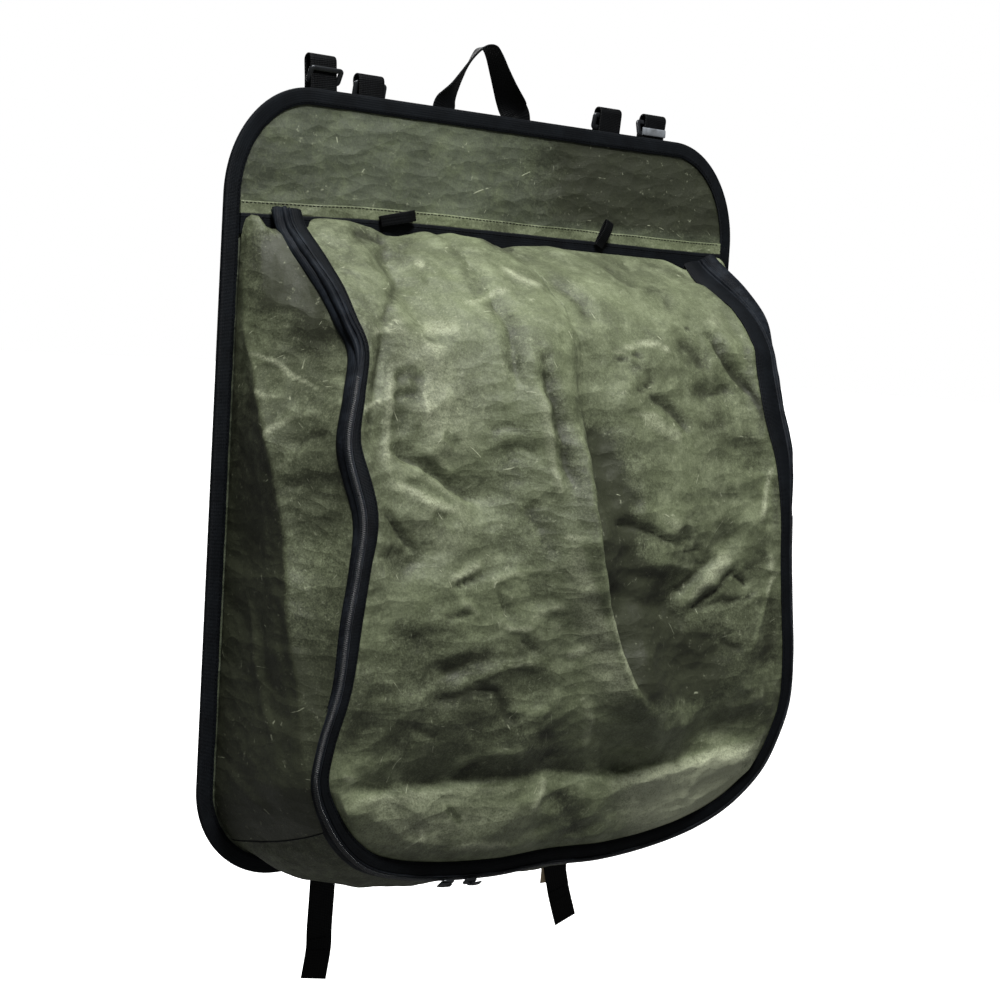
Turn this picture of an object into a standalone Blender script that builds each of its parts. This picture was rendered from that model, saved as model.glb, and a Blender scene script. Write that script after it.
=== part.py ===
"""Waxed canvas storage bag, hanging from its webbing handle.

Metres, +Z up. The front of the bag faces -Y. The origin is the underside of the
handle's bend, where the bag hangs. Drops are measured down from the back panel's
top edge, and sideways places from the back panel's middle line.
"""

import math

import bmesh
import bpy
from mathutils import Vector

# Back panel and where it hangs
HANDLE_RISE = 0.056
PANEL_MIDDLE_X = 0.0245
PANEL_WIDTH = 0.542
PANEL_HEIGHT = 0.634
PANEL_THICKNESS = 0.002
TOP_CORNER_WIDE = 0.075
TOP_CORNER_HIGH = 0.089
BOTTOM_CORNER = 0.075
CORNER_STEPS = 9
PANEL_FACE_INSET = 0.04
PANEL_FACE_RISE = 0.0002
CURVE_STEPS = 12

# Cloth, tapes and gaps
CLOTH = 0.0018
TAPE = 0.001
WEBBING = 0.0018
WEBBING_WIDTH = 0.025
GAP = 0.0003
BINDING_WIDTH = 0.012
BINDING_ROUND = 0.0007

# Folded canvas band and black tape across the panel
BAND_TOP_DROP = 0.087
BAND_BOTTOM_DROP = 0.0975
BAND_THICKNESS = 0.0015
TAPE_BOTTOM_DROP = 0.1080
TOP_TAPE_THICKNESS = 0.0022

# Zip line: the edge between the front panel and the gussets, one row a section
ZIP_ROWS = (
    # drop, depth, left, right
    (0.096, 0.0085, 0.221, 0.219),
    (0.112, 0.021, 0.222, 0.223),
    (0.136, 0.054, 0.222, 0.231),
    (0.158, 0.084, 0.222, 0.231),
    (0.182, 0.106, 0.221, 0.228),
    (0.204, 0.118, 0.217, 0.224),
    (0.236, 0.128, 0.226, 0.225),
    (0.276, 0.136, 0.235, 0.232),
    (0.326, 0.144, 0.224, 0.231),
    (0.364, 0.147, 0.228, 0.231),
    (0.406, 0.148, 0.235, 0.235),
    (0.454, 0.147, 0.239, 0.242),
    (0.496, 0.142, 0.248, 0.247),
    (0.530, 0.136, 0.248, 0.242),
    (0.562, 0.129, 0.231, 0.230),
    (0.590, 0.122, 0.206, 0.203),
    (0.609, 0.116, 0.175, 0.167),
    (0.621, 0.112, 0.125, 0.118),
    (0.626, 0.112, 0.060, 0.058),
)
ZIP_MIDDLE_DROP = 0.624
ZIP_MIDDLE_DEPTH = 0.112
ZIP_STEPS = 90
CORNER_SEAM_DROP = 0.566
CORNER_SEAM_STEPS = 1
CLOTH_FIRST_STEP = 1

# Widths across the zip line, measured from it along the front and along the gusset
CHAIN_HALF = 0.0032
CHAIN_GAP = 0.0005
CHAIN_INNER = 0.0008
CHAIN_FLANK = 0.0012
CHAIN_CREST = 0.0026
FRONT_BINDING_WIDTH = 0.010
FRONT_BINDING_OUTER = 0.0018
FRONT_BINDING_INNER = 0.0012
ZIP_TAPE_WIDTH = 0.008
ZIP_TAPE_OUTER = 0.0014
ZIP_TAPE_INNER = 0.0010
CLOTH_GAP = 0.0008

# Front panel
FRONT_COLUMNS = 26
FRONT_TOP_DROP = 0.1098
FRONT_TOP_DEPTH = 0.0035
FRONT_TOP_WAVE = 0.0012
FRONT_TOP_WAVES = 4.5
FRONT_TOP_END = 0.05
FRONT_BULGE = 0.026
# How steeply the folds come up from the sides, the top and the bottom of the front
SIDE_FADE = 8
TOP_FADE = 12
BOTTOM_FADE = 8
FRONT_FOLDS = (
    # x_from, drop_from, x_to, drop_to, half_width, height
    (-0.053, 0.214, -0.013, 0.349, 0.040, 0.012),
    (-0.013, 0.349, 0.041, 0.465, 0.038, 0.014),
    (0.041, 0.465, 0.075, 0.505, 0.032, 0.010),
    (-0.010, 0.245, 0.025, 0.390, 0.022, -0.007),
    (-0.235, 0.537, 0.225, 0.530, 0.020, -0.014),
    (-0.200, 0.275, -0.120, 0.317, 0.020, -0.007),
    (-0.213, 0.320, -0.180, 0.350, 0.018, -0.006),
    (0.074, 0.395, 0.150, 0.357, 0.020, -0.007),
    (0.080, 0.408, 0.200, 0.393, 0.020, -0.006),
    (-0.140, 0.112, -0.145, 0.170, 0.020, -0.014),
    (0.137, 0.183, 0.169, 0.220, 0.020, -0.006),
)

# Gussets
SEAM_INSET = 0.0145
SEAM_DEPTH = 0.0024
SEAM_TOP_DROP = 0.110
SEAM_TOP_LIFT = 0.008
SIDE_GUSSET_COLUMNS = 8
BOTTOM_GUSSET_COLUMNS = 7
SIDE_BULGE = 0.006
RIDGE_HEIGHT = 0.013
RIDGE_HALF_WIDTH = 0.28
RIDGE_TOP = 0.30
RIDGE_BOTTOM = 0.90
RIDGE_END = 0.80
BOTTOM_SAG = 0.020

# Handle: a strap that turns half round on its way over the hang point
HANDLE_ROWS = (
    # x, y, z, turn in degrees from sideways
    (-0.0400, 0.0037, -0.0780, 0),
    (-0.0400, 0.0037, -0.0660, 0),
    (-0.0400, 0.0037, -0.0535, 0),
    (-0.0370, 0.0034, -0.0465, 20),
    (-0.0330, 0.0028, -0.0390, 38),
    (-0.0260, 0.0015, -0.0260, 50),
    (-0.0175, 0.0005, -0.0120, 60),
    (-0.0085, 0.0000, -0.0015, 72),
    (0.0000, 0.0000, 0.0009, 82),
    (0.0055, 0.0000, -0.0040, 86),
    (0.0130, 0.0000, -0.0180, 96),
    (0.0210, 0.0010, -0.0310, 112),
    (0.0290, 0.0028, -0.0420, 140),
    (0.0340, 0.0036, -0.0485, 165),
    (0.0385, 0.0037, -0.0535, 180),
    (0.0400, 0.0037, -0.0660, 180),
    (0.0400, 0.0037, -0.0780, 180),
)
HANDLE_STEPS = 34

# Four short strap loops with slider buckles above the top edge
TOP_STRAPS = (
    # name, x, rise, buckle_rise, buckle_tilt in degrees
    ("one", -0.184, 0.030, 0.013, -29),
    ("two", -0.138, 0.020, 0.008, -29),
    ("three", 0.117, 0.024, 0.011, -29),
    ("four", 0.170, 0.024, 0.011, 29),
)
LOOP_RADIUS = 0.0042
STRAP_FOOT_DROP = 0.020
STRAP_TAIL_DROP = 0.006
LOOP_STEPS = 8
BUCKLE_LONG = 0.033
BUCKLE_HIGH = 0.015
BUCKLE_BAR = 0.003
BUCKLE_THICKNESS = 0.0022

# Keeper loops on the black tape: narrow webbing folded flat
KEEPERS = (
    # name, x, drop, angle in degrees from sideways
    ("left", -0.128, 0.1000, 14),
    ("right", 0.108, 0.1010, 62),
)
KEEPER_WIDTH = 0.011
KEEPER_LENGTH = 0.034
KEEPER_RADIUS = 0.0013
KEEPER_STEPS = 6

# Two straps that hang behind the bottom edge, sewn on at one distance behind the panel
STRAP_BEHIND = 0.0037
BOTTOM_STRAPS = {
    # rows of x, y, drop
    "left": (
        (-0.1465, 0.0037, 0.612),
        (-0.1465, 0.0037, 0.650),
        (-0.1470, 0.0044, 0.690),
        (-0.1475, 0.0034, 0.708),
        (-0.1520, 0.0020, 0.733),
    ),
    "right": (
        (0.0985, 0.0037, 0.612),
        (0.1030, 0.0037, 0.650),
        (0.1120, 0.0042, 0.686),
        (0.1160, 0.0038, 0.700),
        (0.1230, 0.0028, 0.721),
    ),
}
BOTTOM_STRAP_STEPS = 10

# Blank label tab behind the right bottom strap
LABEL_X = 0.108
LABEL_TOP_DROP = 0.620
LABEL_BOTTOM_DROP = 0.684
LABEL_WIDTH = 0.030
LABEL_THICKNESS = 0.0006
LABEL_BEHIND = 0.0009

# Two zip sliders that meet under the bottom edge
SLIDERS = (
    # name, x, pull direction
    ("left", -0.104, 1),
    ("right", -0.080, -1),
)
SLIDER_LENGTH = 0.011
SLIDER_HIGH = 0.0045
SLIDER_WIDTH = 0.008
SLIDER_NOSE = 0.0035
PULL_ROOT = 0.0005
PULL_LENGTH = 0.010
PULL_THICKNESS = 0.002

COLOURS = {
    # slot: colour, roughness, metallic
    "canvas": ((0.105, 0.118, 0.068), 0.70, 0.0),
    "webbing": ((0.010, 0.012, 0.015), 0.75, 0.0),
    "binding": ((0.012, 0.014, 0.019), 0.70, 0.0),
    "zip": ((0.010, 0.011, 0.013), 0.45, 0.0),
    "metal": ((0.420, 0.440, 0.450), 0.35, 1.0),
    "label": ((0.420, 0.330, 0.220), 0.80, 0.0),
}


def clear_scene():
    for item in list(bpy.data.objects):
        bpy.data.objects.remove(item, do_unlink=True)


def make_material(slot):
    """Plain surface for one slot of the table."""
    colour, roughness, metallic = COLOURS[slot]
    material = bpy.data.materials.new(slot)
    material.use_nodes = True
    shader = material.node_tree.nodes["Principled BSDF"]
    shader.inputs["Base Color"].default_value = (*colour, 1.0)
    shader.inputs["Roughness"].default_value = roughness
    shader.inputs["Metallic"].default_value = metallic
    return material


def place(side, depth, drop):
    """Point in the frame from a sideways place, a depth to the front and a drop."""
    return Vector((PANEL_MIDDLE_X + side, -depth, -HANDLE_RISE - drop))


def add_mesh(name, points, faces, slot, parent):
    """Mesh object with outward faces."""
    mesh = bpy.data.meshes.new(name)
    mesh.from_pydata([tuple(point) for point in points], [], faces)
    work = bmesh.new()
    work.from_mesh(mesh)
    bmesh.ops.recalc_face_normals(work, faces=work.faces)
    work.to_mesh(mesh)
    work.free()
    mesh.materials.append(parent["materials"][slot])
    item = bpy.data.objects.new(name, mesh)
    parent["collection"].objects.link(item)
    return item


def add_sheet(name, rows, thickness, slot, parent):
    """Open grid of points made into a cloth wall."""
    columns = len(rows[0])
    points = [point for row in rows for point in row]
    faces = []
    for i in range(len(rows) - 1):
        for j in range(columns - 1):
            first = i * columns + j
            faces.append((first, first + 1, first + columns + 1, first + columns))
    item = add_mesh(name, points, faces, slot, parent)
    wall = item.modifiers.new("wall", "SOLIDIFY")
    wall.thickness = thickness
    wall.offset = 0.0
    item.data.shade_smooth()
    return item


def add_loft(name, rings, slot, parent, cyclic=False):
    """Closed body through equal rings of points, capped unless it is cyclic."""
    size = len(rings[0])
    points = [point for ring in rings for point in ring]
    faces = []
    spans = len(rings) if cyclic else len(rings) - 1
    for i in range(spans):
        start = i * size
        end = ((i + 1) % len(rings)) * size
        for j in range(size):
            k = (j + 1) % size
            faces.append((start + j, start + k, end + k, end + j))
    if not cyclic:
        faces.append(tuple(range(size)))
        faces.append(tuple(range((len(rings) - 1) * size, len(rings) * size)))
    return add_mesh(name, points, faces, slot, parent)


def smooth_line(points, steps):
    """Evenly spaced points on a Catmull-Rom curve through the given ones."""
    ends = [2 * points[0] - points[1]] + list(points) + [2 * points[-1] - points[-2]]
    fine = []
    for i in range(1, len(ends) - 2):
        p0, p1, p2, p3 = ends[i - 1:i + 3]
        for k in range(CURVE_STEPS):
            t = k / CURVE_STEPS
            fine.append(0.5 * ((2 * p1) + (p2 - p0) * t
                               + (2 * p0 - 5 * p1 + 4 * p2 - p3) * t * t
                               + (3 * p1 - p0 - 3 * p2 + p3) * t ** 3))
    fine.append(points[-1].copy())
    lengths = [0.0]
    for a, b in zip(fine, fine[1:]):
        lengths.append(lengths[-1] + (b - a).length)
    result = []
    k = 0
    for i in range(steps + 1):
        target = lengths[-1] * i / steps
        while k < len(fine) - 2 and lengths[k + 1] < target:
            k += 1
        part = (target - lengths[k]) / (lengths[k + 1] - lengths[k])
        result.append(fine[k].lerp(fine[k + 1], min(max(part, 0.0), 1.0)))
    return result


def panel_outline(offset, depth):
    """Rounded outline of the back panel, moved out by offset, at one depth."""
    half = PANEL_WIDTH / 2
    corners = (
        # centre side, centre drop, radius wide, radius high, first angle
        (half - TOP_CORNER_WIDE, TOP_CORNER_HIGH, TOP_CORNER_WIDE, TOP_CORNER_HIGH, 0),
        (TOP_CORNER_WIDE - half, TOP_CORNER_HIGH, TOP_CORNER_WIDE, TOP_CORNER_HIGH, 90),
        (BOTTOM_CORNER - half, PANEL_HEIGHT - BOTTOM_CORNER, BOTTOM_CORNER, BOTTOM_CORNER, 180),
        (half - BOTTOM_CORNER, PANEL_HEIGHT - BOTTOM_CORNER, BOTTOM_CORNER, BOTTOM_CORNER, 270),
    )
    points = []
    for side, drop, wide, high, first in corners:
        for k in range(CORNER_STEPS + 1):
            angle = math.radians(first + 90 * k / CORNER_STEPS)
            across = side + (wide + offset) * math.cos(angle)
            down = drop - (high + offset) * math.sin(angle)
            points.append(place(across, depth, down))
    return points


def make_back_panel(parent):
    """Flat canvas back whose middle stands proud behind, clear of the binding round it."""
    half = PANEL_THICKNESS / 2
    front = [panel_outline(0.0, half), panel_outline(-PANEL_FACE_INSET, half)]
    back = [panel_outline(0.0, -half), panel_outline(-PANEL_FACE_INSET, -half - PANEL_FACE_RISE)]
    size = len(front[0])
    points = front[1] + front[0] + back[0] + back[1]
    faces = [tuple(range(size)), tuple(range(3 * size, 4 * size))]
    for ring in range(3):
        for j in range(size):
            k = (j + 1) % size
            low = ring * size
            faces.append((low + j, low + k, low + size + k, low + size + j))
    return add_mesh("back_panel", points, faces, "canvas", parent)


def make_back_binding(parent):
    """Tape folded round the whole edge of the back panel."""
    inner = PANEL_THICKNESS / 2 + GAP
    outer = inner + TAPE
    section = (
        # offset from the panel's edge, depth
        (-BINDING_WIDTH, outer),
        (GAP + TAPE - BINDING_ROUND, outer),
        (GAP + TAPE, outer - BINDING_ROUND),
        (GAP + TAPE, BINDING_ROUND - outer),
        (GAP + TAPE - BINDING_ROUND, -outer),
        (-BINDING_WIDTH, -outer),
        (-BINDING_WIDTH, -inner),
        (GAP, -inner),
        (GAP, inner),
        (-BINDING_WIDTH, inner),
    )
    loops = [panel_outline(offset, depth) for offset, depth in section]
    rings = [list(ring) for ring in zip(*loops)]
    return add_loft("back_binding", rings, "binding", parent, cyclic=True)


def make_strip(name, top, bottom, back, front, slot, parent):
    """Flat strip across the panel between the legs of its binding."""
    half = PANEL_WIDTH / 2 - BINDING_WIDTH - GAP
    rings = []
    for side in (-half, half):
        rings.append([place(side, back, top), place(side, front, top),
                      place(side, front, bottom), place(side, back, bottom)])
    return add_loft(name, rings, slot, parent)


def zip_line():
    """Points of the zip line, from its left top round the bottom to its right top."""
    left = [place(-row[2], row[1], row[0]) for row in ZIP_ROWS]
    right = [place(row[3], row[1], row[0]) for row in ZIP_ROWS]
    middle = place(0.0, ZIP_MIDDLE_DEPTH, ZIP_MIDDLE_DROP)
    return smooth_line(left + [middle] + right[::-1], ZIP_STEPS)


def seam_side(drop, sign):
    """Point of the seam on the panel, at a drop on its left or right side."""
    half = PANEL_WIDTH / 2 - SEAM_INSET
    radius = BOTTOM_CORNER - SEAM_INSET
    below = max(drop - (PANEL_HEIGHT - BOTTOM_CORNER), 0.0)
    side = half - radius + math.sqrt(max(radius ** 2 - below ** 2, 0.0))
    return place(sign * side, SEAM_DEPTH, drop)


def seam_bottom(side):
    """Point of the seam on the panel, along its bottom."""
    half = PANEL_WIDTH / 2 - SEAM_INSET
    radius = BOTTOM_CORNER - SEAM_INSET
    beyond = max(abs(side) - (half - radius), 0.0)
    drop = PANEL_HEIGHT - BOTTOM_CORNER + math.sqrt(max(radius ** 2 - beyond ** 2, 0.0))
    return place(side, SEAM_DEPTH, drop)


class Edge:
    """The zip line with its directions, and the seam point behind each of its points."""

    def __init__(self):
        self.points = zip_line()
        drops = [-HANDLE_RISE - point.z for point in self.points]
        self.top = CLOTH_FIRST_STEP
        self.left_corner = next(i for i, drop in enumerate(drops) if drop > CORNER_SEAM_DROP)
        self.right_corner = ZIP_STEPS - self.left_corner
        corner_cut = (1 - math.sqrt(0.5)) * (BOTTOM_CORNER - SEAM_INSET)
        self.seam_corner_drop = PANEL_HEIGHT - SEAM_INSET - corner_cut
        self.seam_corner_side = PANEL_WIDTH / 2 - SEAM_INSET - corner_cut
        self.seam = [self.seam_point(i, drop) for i, drop in enumerate(drops)]
        self.frames = [self.frame(i) for i in range(ZIP_STEPS + 1)]

    def seam_point(self, i, drop):
        if self.left_corner < i < self.right_corner:
            first = self.points[self.left_corner].x
            last = self.points[self.right_corner].x
            part = (self.points[i].x - first) / (last - first)
            return seam_bottom((2 * part - 1) * self.seam_corner_side)
        start = -HANDLE_RISE - self.points[0].z
        corner = self.left_corner if i <= self.left_corner else self.right_corner
        end = -HANDLE_RISE - self.points[corner].z
        part = max((drop - start) / (end - start), 0.0)
        low = SEAM_TOP_DROP + part * (self.seam_corner_drop - SEAM_TOP_DROP)
        point = seam_side(low, -1 if i <= self.left_corner else 1)
        point.y -= SEAM_TOP_LIFT * max(1 - (drop - start) / (SEAM_TOP_DROP - start), 0.0)
        return point

    def frame(self, i):
        """Directions across the front, out of it, across the gusset and out of that."""
        before = self.points[max(i - 1, 0)]
        after = self.points[min(i + 1, ZIP_STEPS)]
        along = (after - before).normalized()
        front = along.cross(Vector((0, 1, 0))).normalized()
        front_out = along.cross(front).normalized()
        back = self.seam[i] - self.points[i]
        back = (back - along * back.dot(along)).normalized()
        back_out = back.cross(along).normalized()
        return front, front_out, back, back_out

    def at(self, i, across_front=0.0, out_front=0.0, across_back=0.0, out_back=0.0):
        front, front_out, back, back_out = self.frames[i]
        return (self.points[i] + front * across_front + front_out * out_front
                + back * across_back + back_out * out_back)


def make_zip_chain(edge, parent):
    rings = []
    for i in range(ZIP_STEPS + 1):
        front_out, back_out = edge.frames[i][1], edge.frames[i][3]
        crest = (front_out + back_out).normalized()
        rings.append([
            edge.at(i, across_front=CHAIN_HALF, out_front=-CHAIN_INNER),
            edge.at(i, across_front=CHAIN_HALF, out_front=CHAIN_FLANK),
            edge.points[i] + crest * CHAIN_CREST,
            edge.at(i, across_back=CHAIN_HALF, out_back=CHAIN_FLANK),
            edge.at(i, across_back=CHAIN_HALF, out_back=-CHAIN_INNER),
            edge.points[i] - crest * CHAIN_INNER,
        ])
    return add_loft("zip_chain", rings, "zip", parent)


def make_front_binding(edge, parent):
    start = CHAIN_HALF + CHAIN_GAP
    end = start + FRONT_BINDING_WIDTH
    rings = []
    for i in range(ZIP_STEPS + 1):
        rings.append([edge.at(i, across_front=start, out_front=-FRONT_BINDING_INNER),
                      edge.at(i, across_front=start, out_front=FRONT_BINDING_OUTER),
                      edge.at(i, across_front=end, out_front=FRONT_BINDING_OUTER),
                      edge.at(i, across_front=end, out_front=-FRONT_BINDING_INNER)])
    return add_loft("front_binding", rings, "binding", parent)


def make_zip_tape(edge, parent):
    start = CHAIN_HALF + CHAIN_GAP
    end = start + ZIP_TAPE_WIDTH
    rings = []
    for i in range(ZIP_STEPS + 1):
        rings.append([edge.at(i, across_back=start, out_back=-ZIP_TAPE_INNER),
                      edge.at(i, across_back=start, out_back=ZIP_TAPE_OUTER),
                      edge.at(i, across_back=end, out_back=ZIP_TAPE_OUTER),
                      edge.at(i, across_back=end, out_back=-ZIP_TAPE_INNER)])
    return add_loft("zip_tape", rings, "zip", parent)


def fold_height(side, drop):
    """Height of all the front panel's folds at one place."""
    total = 0.0
    for x_from, drop_from, x_to, drop_to, half_width, height in FRONT_FOLDS:
        run_x = x_to - x_from
        run_drop = drop_to - drop_from
        along = (side - x_from) * run_x + (drop - drop_from) * run_drop
        along = min(max(along / (run_x ** 2 + run_drop ** 2), 0.0), 1.0)
        away = math.hypot(side - x_from - along * run_x, drop - drop_from - along * run_drop)
        total += height * math.exp(-(away / half_width) ** 2)
    return total


def front_top_edge(start, end):
    """Wavy top edge of the front panel under the black tape."""
    points = []
    for k in range(FRONT_COLUMNS + 1):
        part = k / FRONT_COLUMNS
        point = start.lerp(end, part)
        near_end = math.exp(-(min(part, 1 - part) / FRONT_TOP_END) ** 2)
        wave = FRONT_TOP_WAVE * (1 + math.sin(2 * math.pi * FRONT_TOP_WAVES * part))
        middle = place(point.x - PANEL_MIDDLE_X, FRONT_TOP_DEPTH + wave, FRONT_TOP_DROP)
        points.append(middle.lerp(point, near_end))
    return points


def make_front_panel(edge, parent):
    """Soft front: a patch between the four lines of its edge, pushed out by its folds."""
    inset = CHAIN_HALF + CHAIN_GAP + FRONT_BINDING_WIDTH + CLOTH_GAP
    line = [edge.at(i, across_front=inset) for i in range(ZIP_STEPS + 1)]
    rows = edge.left_corner - edge.top
    left = line[edge.top:edge.left_corner + 1]
    right = line[edge.right_corner:ZIP_STEPS - edge.top + 1][::-1]
    bottom = smooth_line(line[edge.left_corner:edge.right_corner + 1], FRONT_COLUMNS)
    top = front_top_edge(left[0], right[0])
    grid = []
    for i in range(rows + 1):
        v = i / rows
        row = []
        for j in range(FRONT_COLUMNS + 1):
            u = j / FRONT_COLUMNS
            sides = left[i].lerp(right[i], u)
            ends = top[j].lerp(bottom[j], v)
            corners = left[0].lerp(right[0], u).lerp(left[rows].lerp(right[rows], u), v)
            row.append(sides + ends - corners)
        grid.append(row)
    return add_sheet("front_panel", push_out(grid), CLOTH, "canvas", parent)


def push_out(grid):
    """Moves the inner points of the front along its normal by the bulge and the folds."""
    rows = len(grid) - 1
    result = [list(row) for row in grid]
    for i in range(1, rows):
        v = i / rows
        for j in range(1, FRONT_COLUMNS):
            u = j / FRONT_COLUMNS
            across = grid[i][j + 1] - grid[i][j - 1]
            down = grid[i + 1][j] - grid[i - 1][j]
            normal = down.cross(across).normalized()
            window = min(1.0, SIDE_FADE * u * (1 - u))
            window *= min(1.0, TOP_FADE * v) * min(1.0, BOTTOM_FADE * (1 - v))
            bulge = FRONT_BULGE * (4 * u * (1 - u)) * math.sqrt(math.sin(math.pi * v))
            point = grid[i][j]
            folds = fold_height(point.x - PANEL_MIDDLE_X, -HANDLE_RISE - point.z)
            result[i][j] = point + normal * (bulge + folds * window)
    return result


def gusset_rows(edge, first, last, columns, push):
    """Grid of one gusset from the zip tape back to the seam."""
    start = CHAIN_HALF + CHAIN_GAP + ZIP_TAPE_WIDTH + CLOTH_GAP
    rows = []
    for i in range(first, last + 1):
        front = edge.at(i, across_back=start)
        rear = edge.seam[i]
        out = edge.frames[i][3]
        part = (i - first) / (last - first)
        row = []
        for j in range(columns + 1):
            t = j / columns
            row.append(front.lerp(rear, t) + out * push(part, t))
        rows.append(row)
    return rows


def side_push(part, t):
    """Bulge of a side gusset, with a ridge that runs from the back to the front on its way down."""
    centre = 1 - (RIDGE_TOP + (RIDGE_BOTTOM - RIDGE_TOP) * min(part / RIDGE_END, 1.0))
    fade = math.sin(math.pi * min(max(part, 0.0), 1.0)) ** 0.5
    ridge = RIDGE_HEIGHT * math.exp(-((t - centre) / RIDGE_HALF_WIDTH) ** 2)
    return math.sin(math.pi * t) * fade * (SIDE_BULGE + ridge)


def bottom_push(part, t):
    """Sag of the bottom gusset, deepest in the middle."""
    return BOTTOM_SAG * math.sin(math.pi * t) * math.sin(math.pi * part) ** 0.5


def make_gussets(edge, parent):
    last = ZIP_STEPS - edge.top
    left = gusset_rows(edge, edge.top, edge.left_corner, SIDE_GUSSET_COLUMNS, side_push)
    right = gusset_rows(edge, edge.right_corner, last, SIDE_GUSSET_COLUMNS,
                        lambda part, t: side_push(1 - part, t))
    bottom = gusset_rows(edge, edge.left_corner + CORNER_SEAM_STEPS,
                         edge.right_corner - CORNER_SEAM_STEPS,
                         BOTTOM_GUSSET_COLUMNS, bottom_push)
    for rows, corner in ((bottom, left[-1]), (bottom[::-1], right[0])):
        join_corner(rows, corner)
    add_sheet("gusset_left", left, CLOTH, "canvas", parent)
    add_sheet("gusset_right", right, CLOTH, "canvas", parent)
    add_sheet("gusset_bottom", bottom, CLOTH, "canvas", parent)


def join_corner(rows, corner):
    """Brings the end row of the bottom gusset up to the end row of a side gusset."""
    columns = len(rows[0]) - 1
    for j in range(columns + 1):
        place_on = j / columns * (len(corner) - 1)
        k = min(int(place_on), len(corner) - 2)
        target = corner[k].lerp(corner[k + 1], place_on - k)
        away = (rows[1][j] - target).normalized()
        rows[0][j] = target + away * (CLOTH / 2 + CLOTH_GAP)


def strap_rings(line, turns, width, thickness):
    """Box sections along a line, each turned about the vertical by its own angle."""
    rings = []
    for i, point in enumerate(line):
        along = (line[min(i + 1, len(line) - 1)] - line[max(i - 1, 0)]).normalized()
        flat = Vector((math.cos(turns[i]), math.sin(turns[i]), 0))
        flat = (flat - along * flat.dot(along)).normalized()
        out = along.cross(flat).normalized()
        half = flat * width / 2
        thick = out * thickness / 2
        rings.append([point - half - thick, point + half - thick,
                      point + half + thick, point - half + thick])
    return rings


def make_handle(parent):
    line = smooth_line([Vector(row[:3]) for row in HANDLE_ROWS], HANDLE_STEPS)
    turns = handle_turns(len(line))
    add_loft("handle", strap_rings(line, turns, WEBBING_WIDTH, WEBBING), "webbing", parent)


def handle_turns(count):
    """Turn of the strap at each of its evenly spaced points, from the rows of its table."""
    knots = [Vector(row[:3]) for row in HANDLE_ROWS]
    lengths = [0.0]
    for a, b in zip(knots, knots[1:]):
        lengths.append(lengths[-1] + (b - a).length)
    turns = []
    for i in range(count):
        target = lengths[-1] * i / (count - 1)
        k = 0
        while k < len(knots) - 2 and lengths[k + 1] < target:
            k += 1
        part = (target - lengths[k]) / (lengths[k + 1] - lengths[k])
        low, high = HANDLE_ROWS[k][3], HANDLE_ROWS[k + 1][3]
        turns.append(math.radians(low + (high - low) * part))
    return turns


def extrude_line(name, line, offsets, slot, parent):
    """Thin strip whose section is a line of points, moved between two offsets."""
    size = len(line)
    half = Vector(offsets) / 2
    rows = [[point - half for point in line], [point + half for point in line]]
    points = rows[0] + rows[1]
    faces = [(j, j + 1, size + j + 1, size + j) for j in range(size - 1)]
    item = add_mesh(name, points, faces, slot, parent)
    wall = item.modifiers.new("wall", "SOLIDIFY")
    wall.thickness = WEBBING
    wall.offset = 0.0
    return item


def make_top_straps(parent):
    for name, side, rise, buckle_rise, buckle_tilt in TOP_STRAPS:
        foot_y = PANEL_THICKNESS / 2 + GAP + TAPE + GAP + WEBBING / 2 + GAP
        line = [place(side, -foot_y, STRAP_FOOT_DROP), place(side, -foot_y, 0.0)]
        bend = rise - LOOP_RADIUS - WEBBING / 2
        for k in range(LOOP_STEPS + 1):
            angle = math.pi * k / LOOP_STEPS
            back = foot_y + LOOP_RADIUS * (1 - math.cos(angle))
            line.append(place(side, -back, -bend - LOOP_RADIUS * math.sin(angle)))
        line.append(place(side, -foot_y - 2 * LOOP_RADIUS, STRAP_TAIL_DROP))
        extrude_line("top_strap_" + name, line, (WEBBING_WIDTH, 0, 0), "webbing", parent)
        make_buckle("top_buckle_" + name, side, foot_y, buckle_rise, buckle_tilt, parent)


def make_buckle(name, side, foot_y, rise, tilt, parent):
    """Rectangular slider frame, threaded on the strap and leaning across it."""
    angle = math.radians(tilt)
    up = Vector((0, math.sin(angle), math.cos(angle)))
    out = Vector((0, math.cos(angle), -math.sin(angle)))
    centre = place(side, -foot_y, -rise)
    outer = (BUCKLE_LONG / 2, BUCKLE_HIGH / 2)
    inner = (BUCKLE_LONG / 2 - BUCKLE_BAR, BUCKLE_HIGH / 2 - BUCKLE_BAR)
    rings = []
    for x_sign, z_sign in ((-1, -1), (1, -1), (1, 1), (-1, 1)):
        ring = []
        for (wide, high), thick in ((outer, -1), (outer, 1), (inner, 1), (inner, -1)):
            ring.append(centre + Vector((x_sign * wide, 0, 0)) + up * (z_sign * high)
                        + out * (thick * BUCKLE_THICKNESS / 2))
        rings.append(ring)
    return add_loft(name, rings, "metal", parent, cyclic=True)


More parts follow.
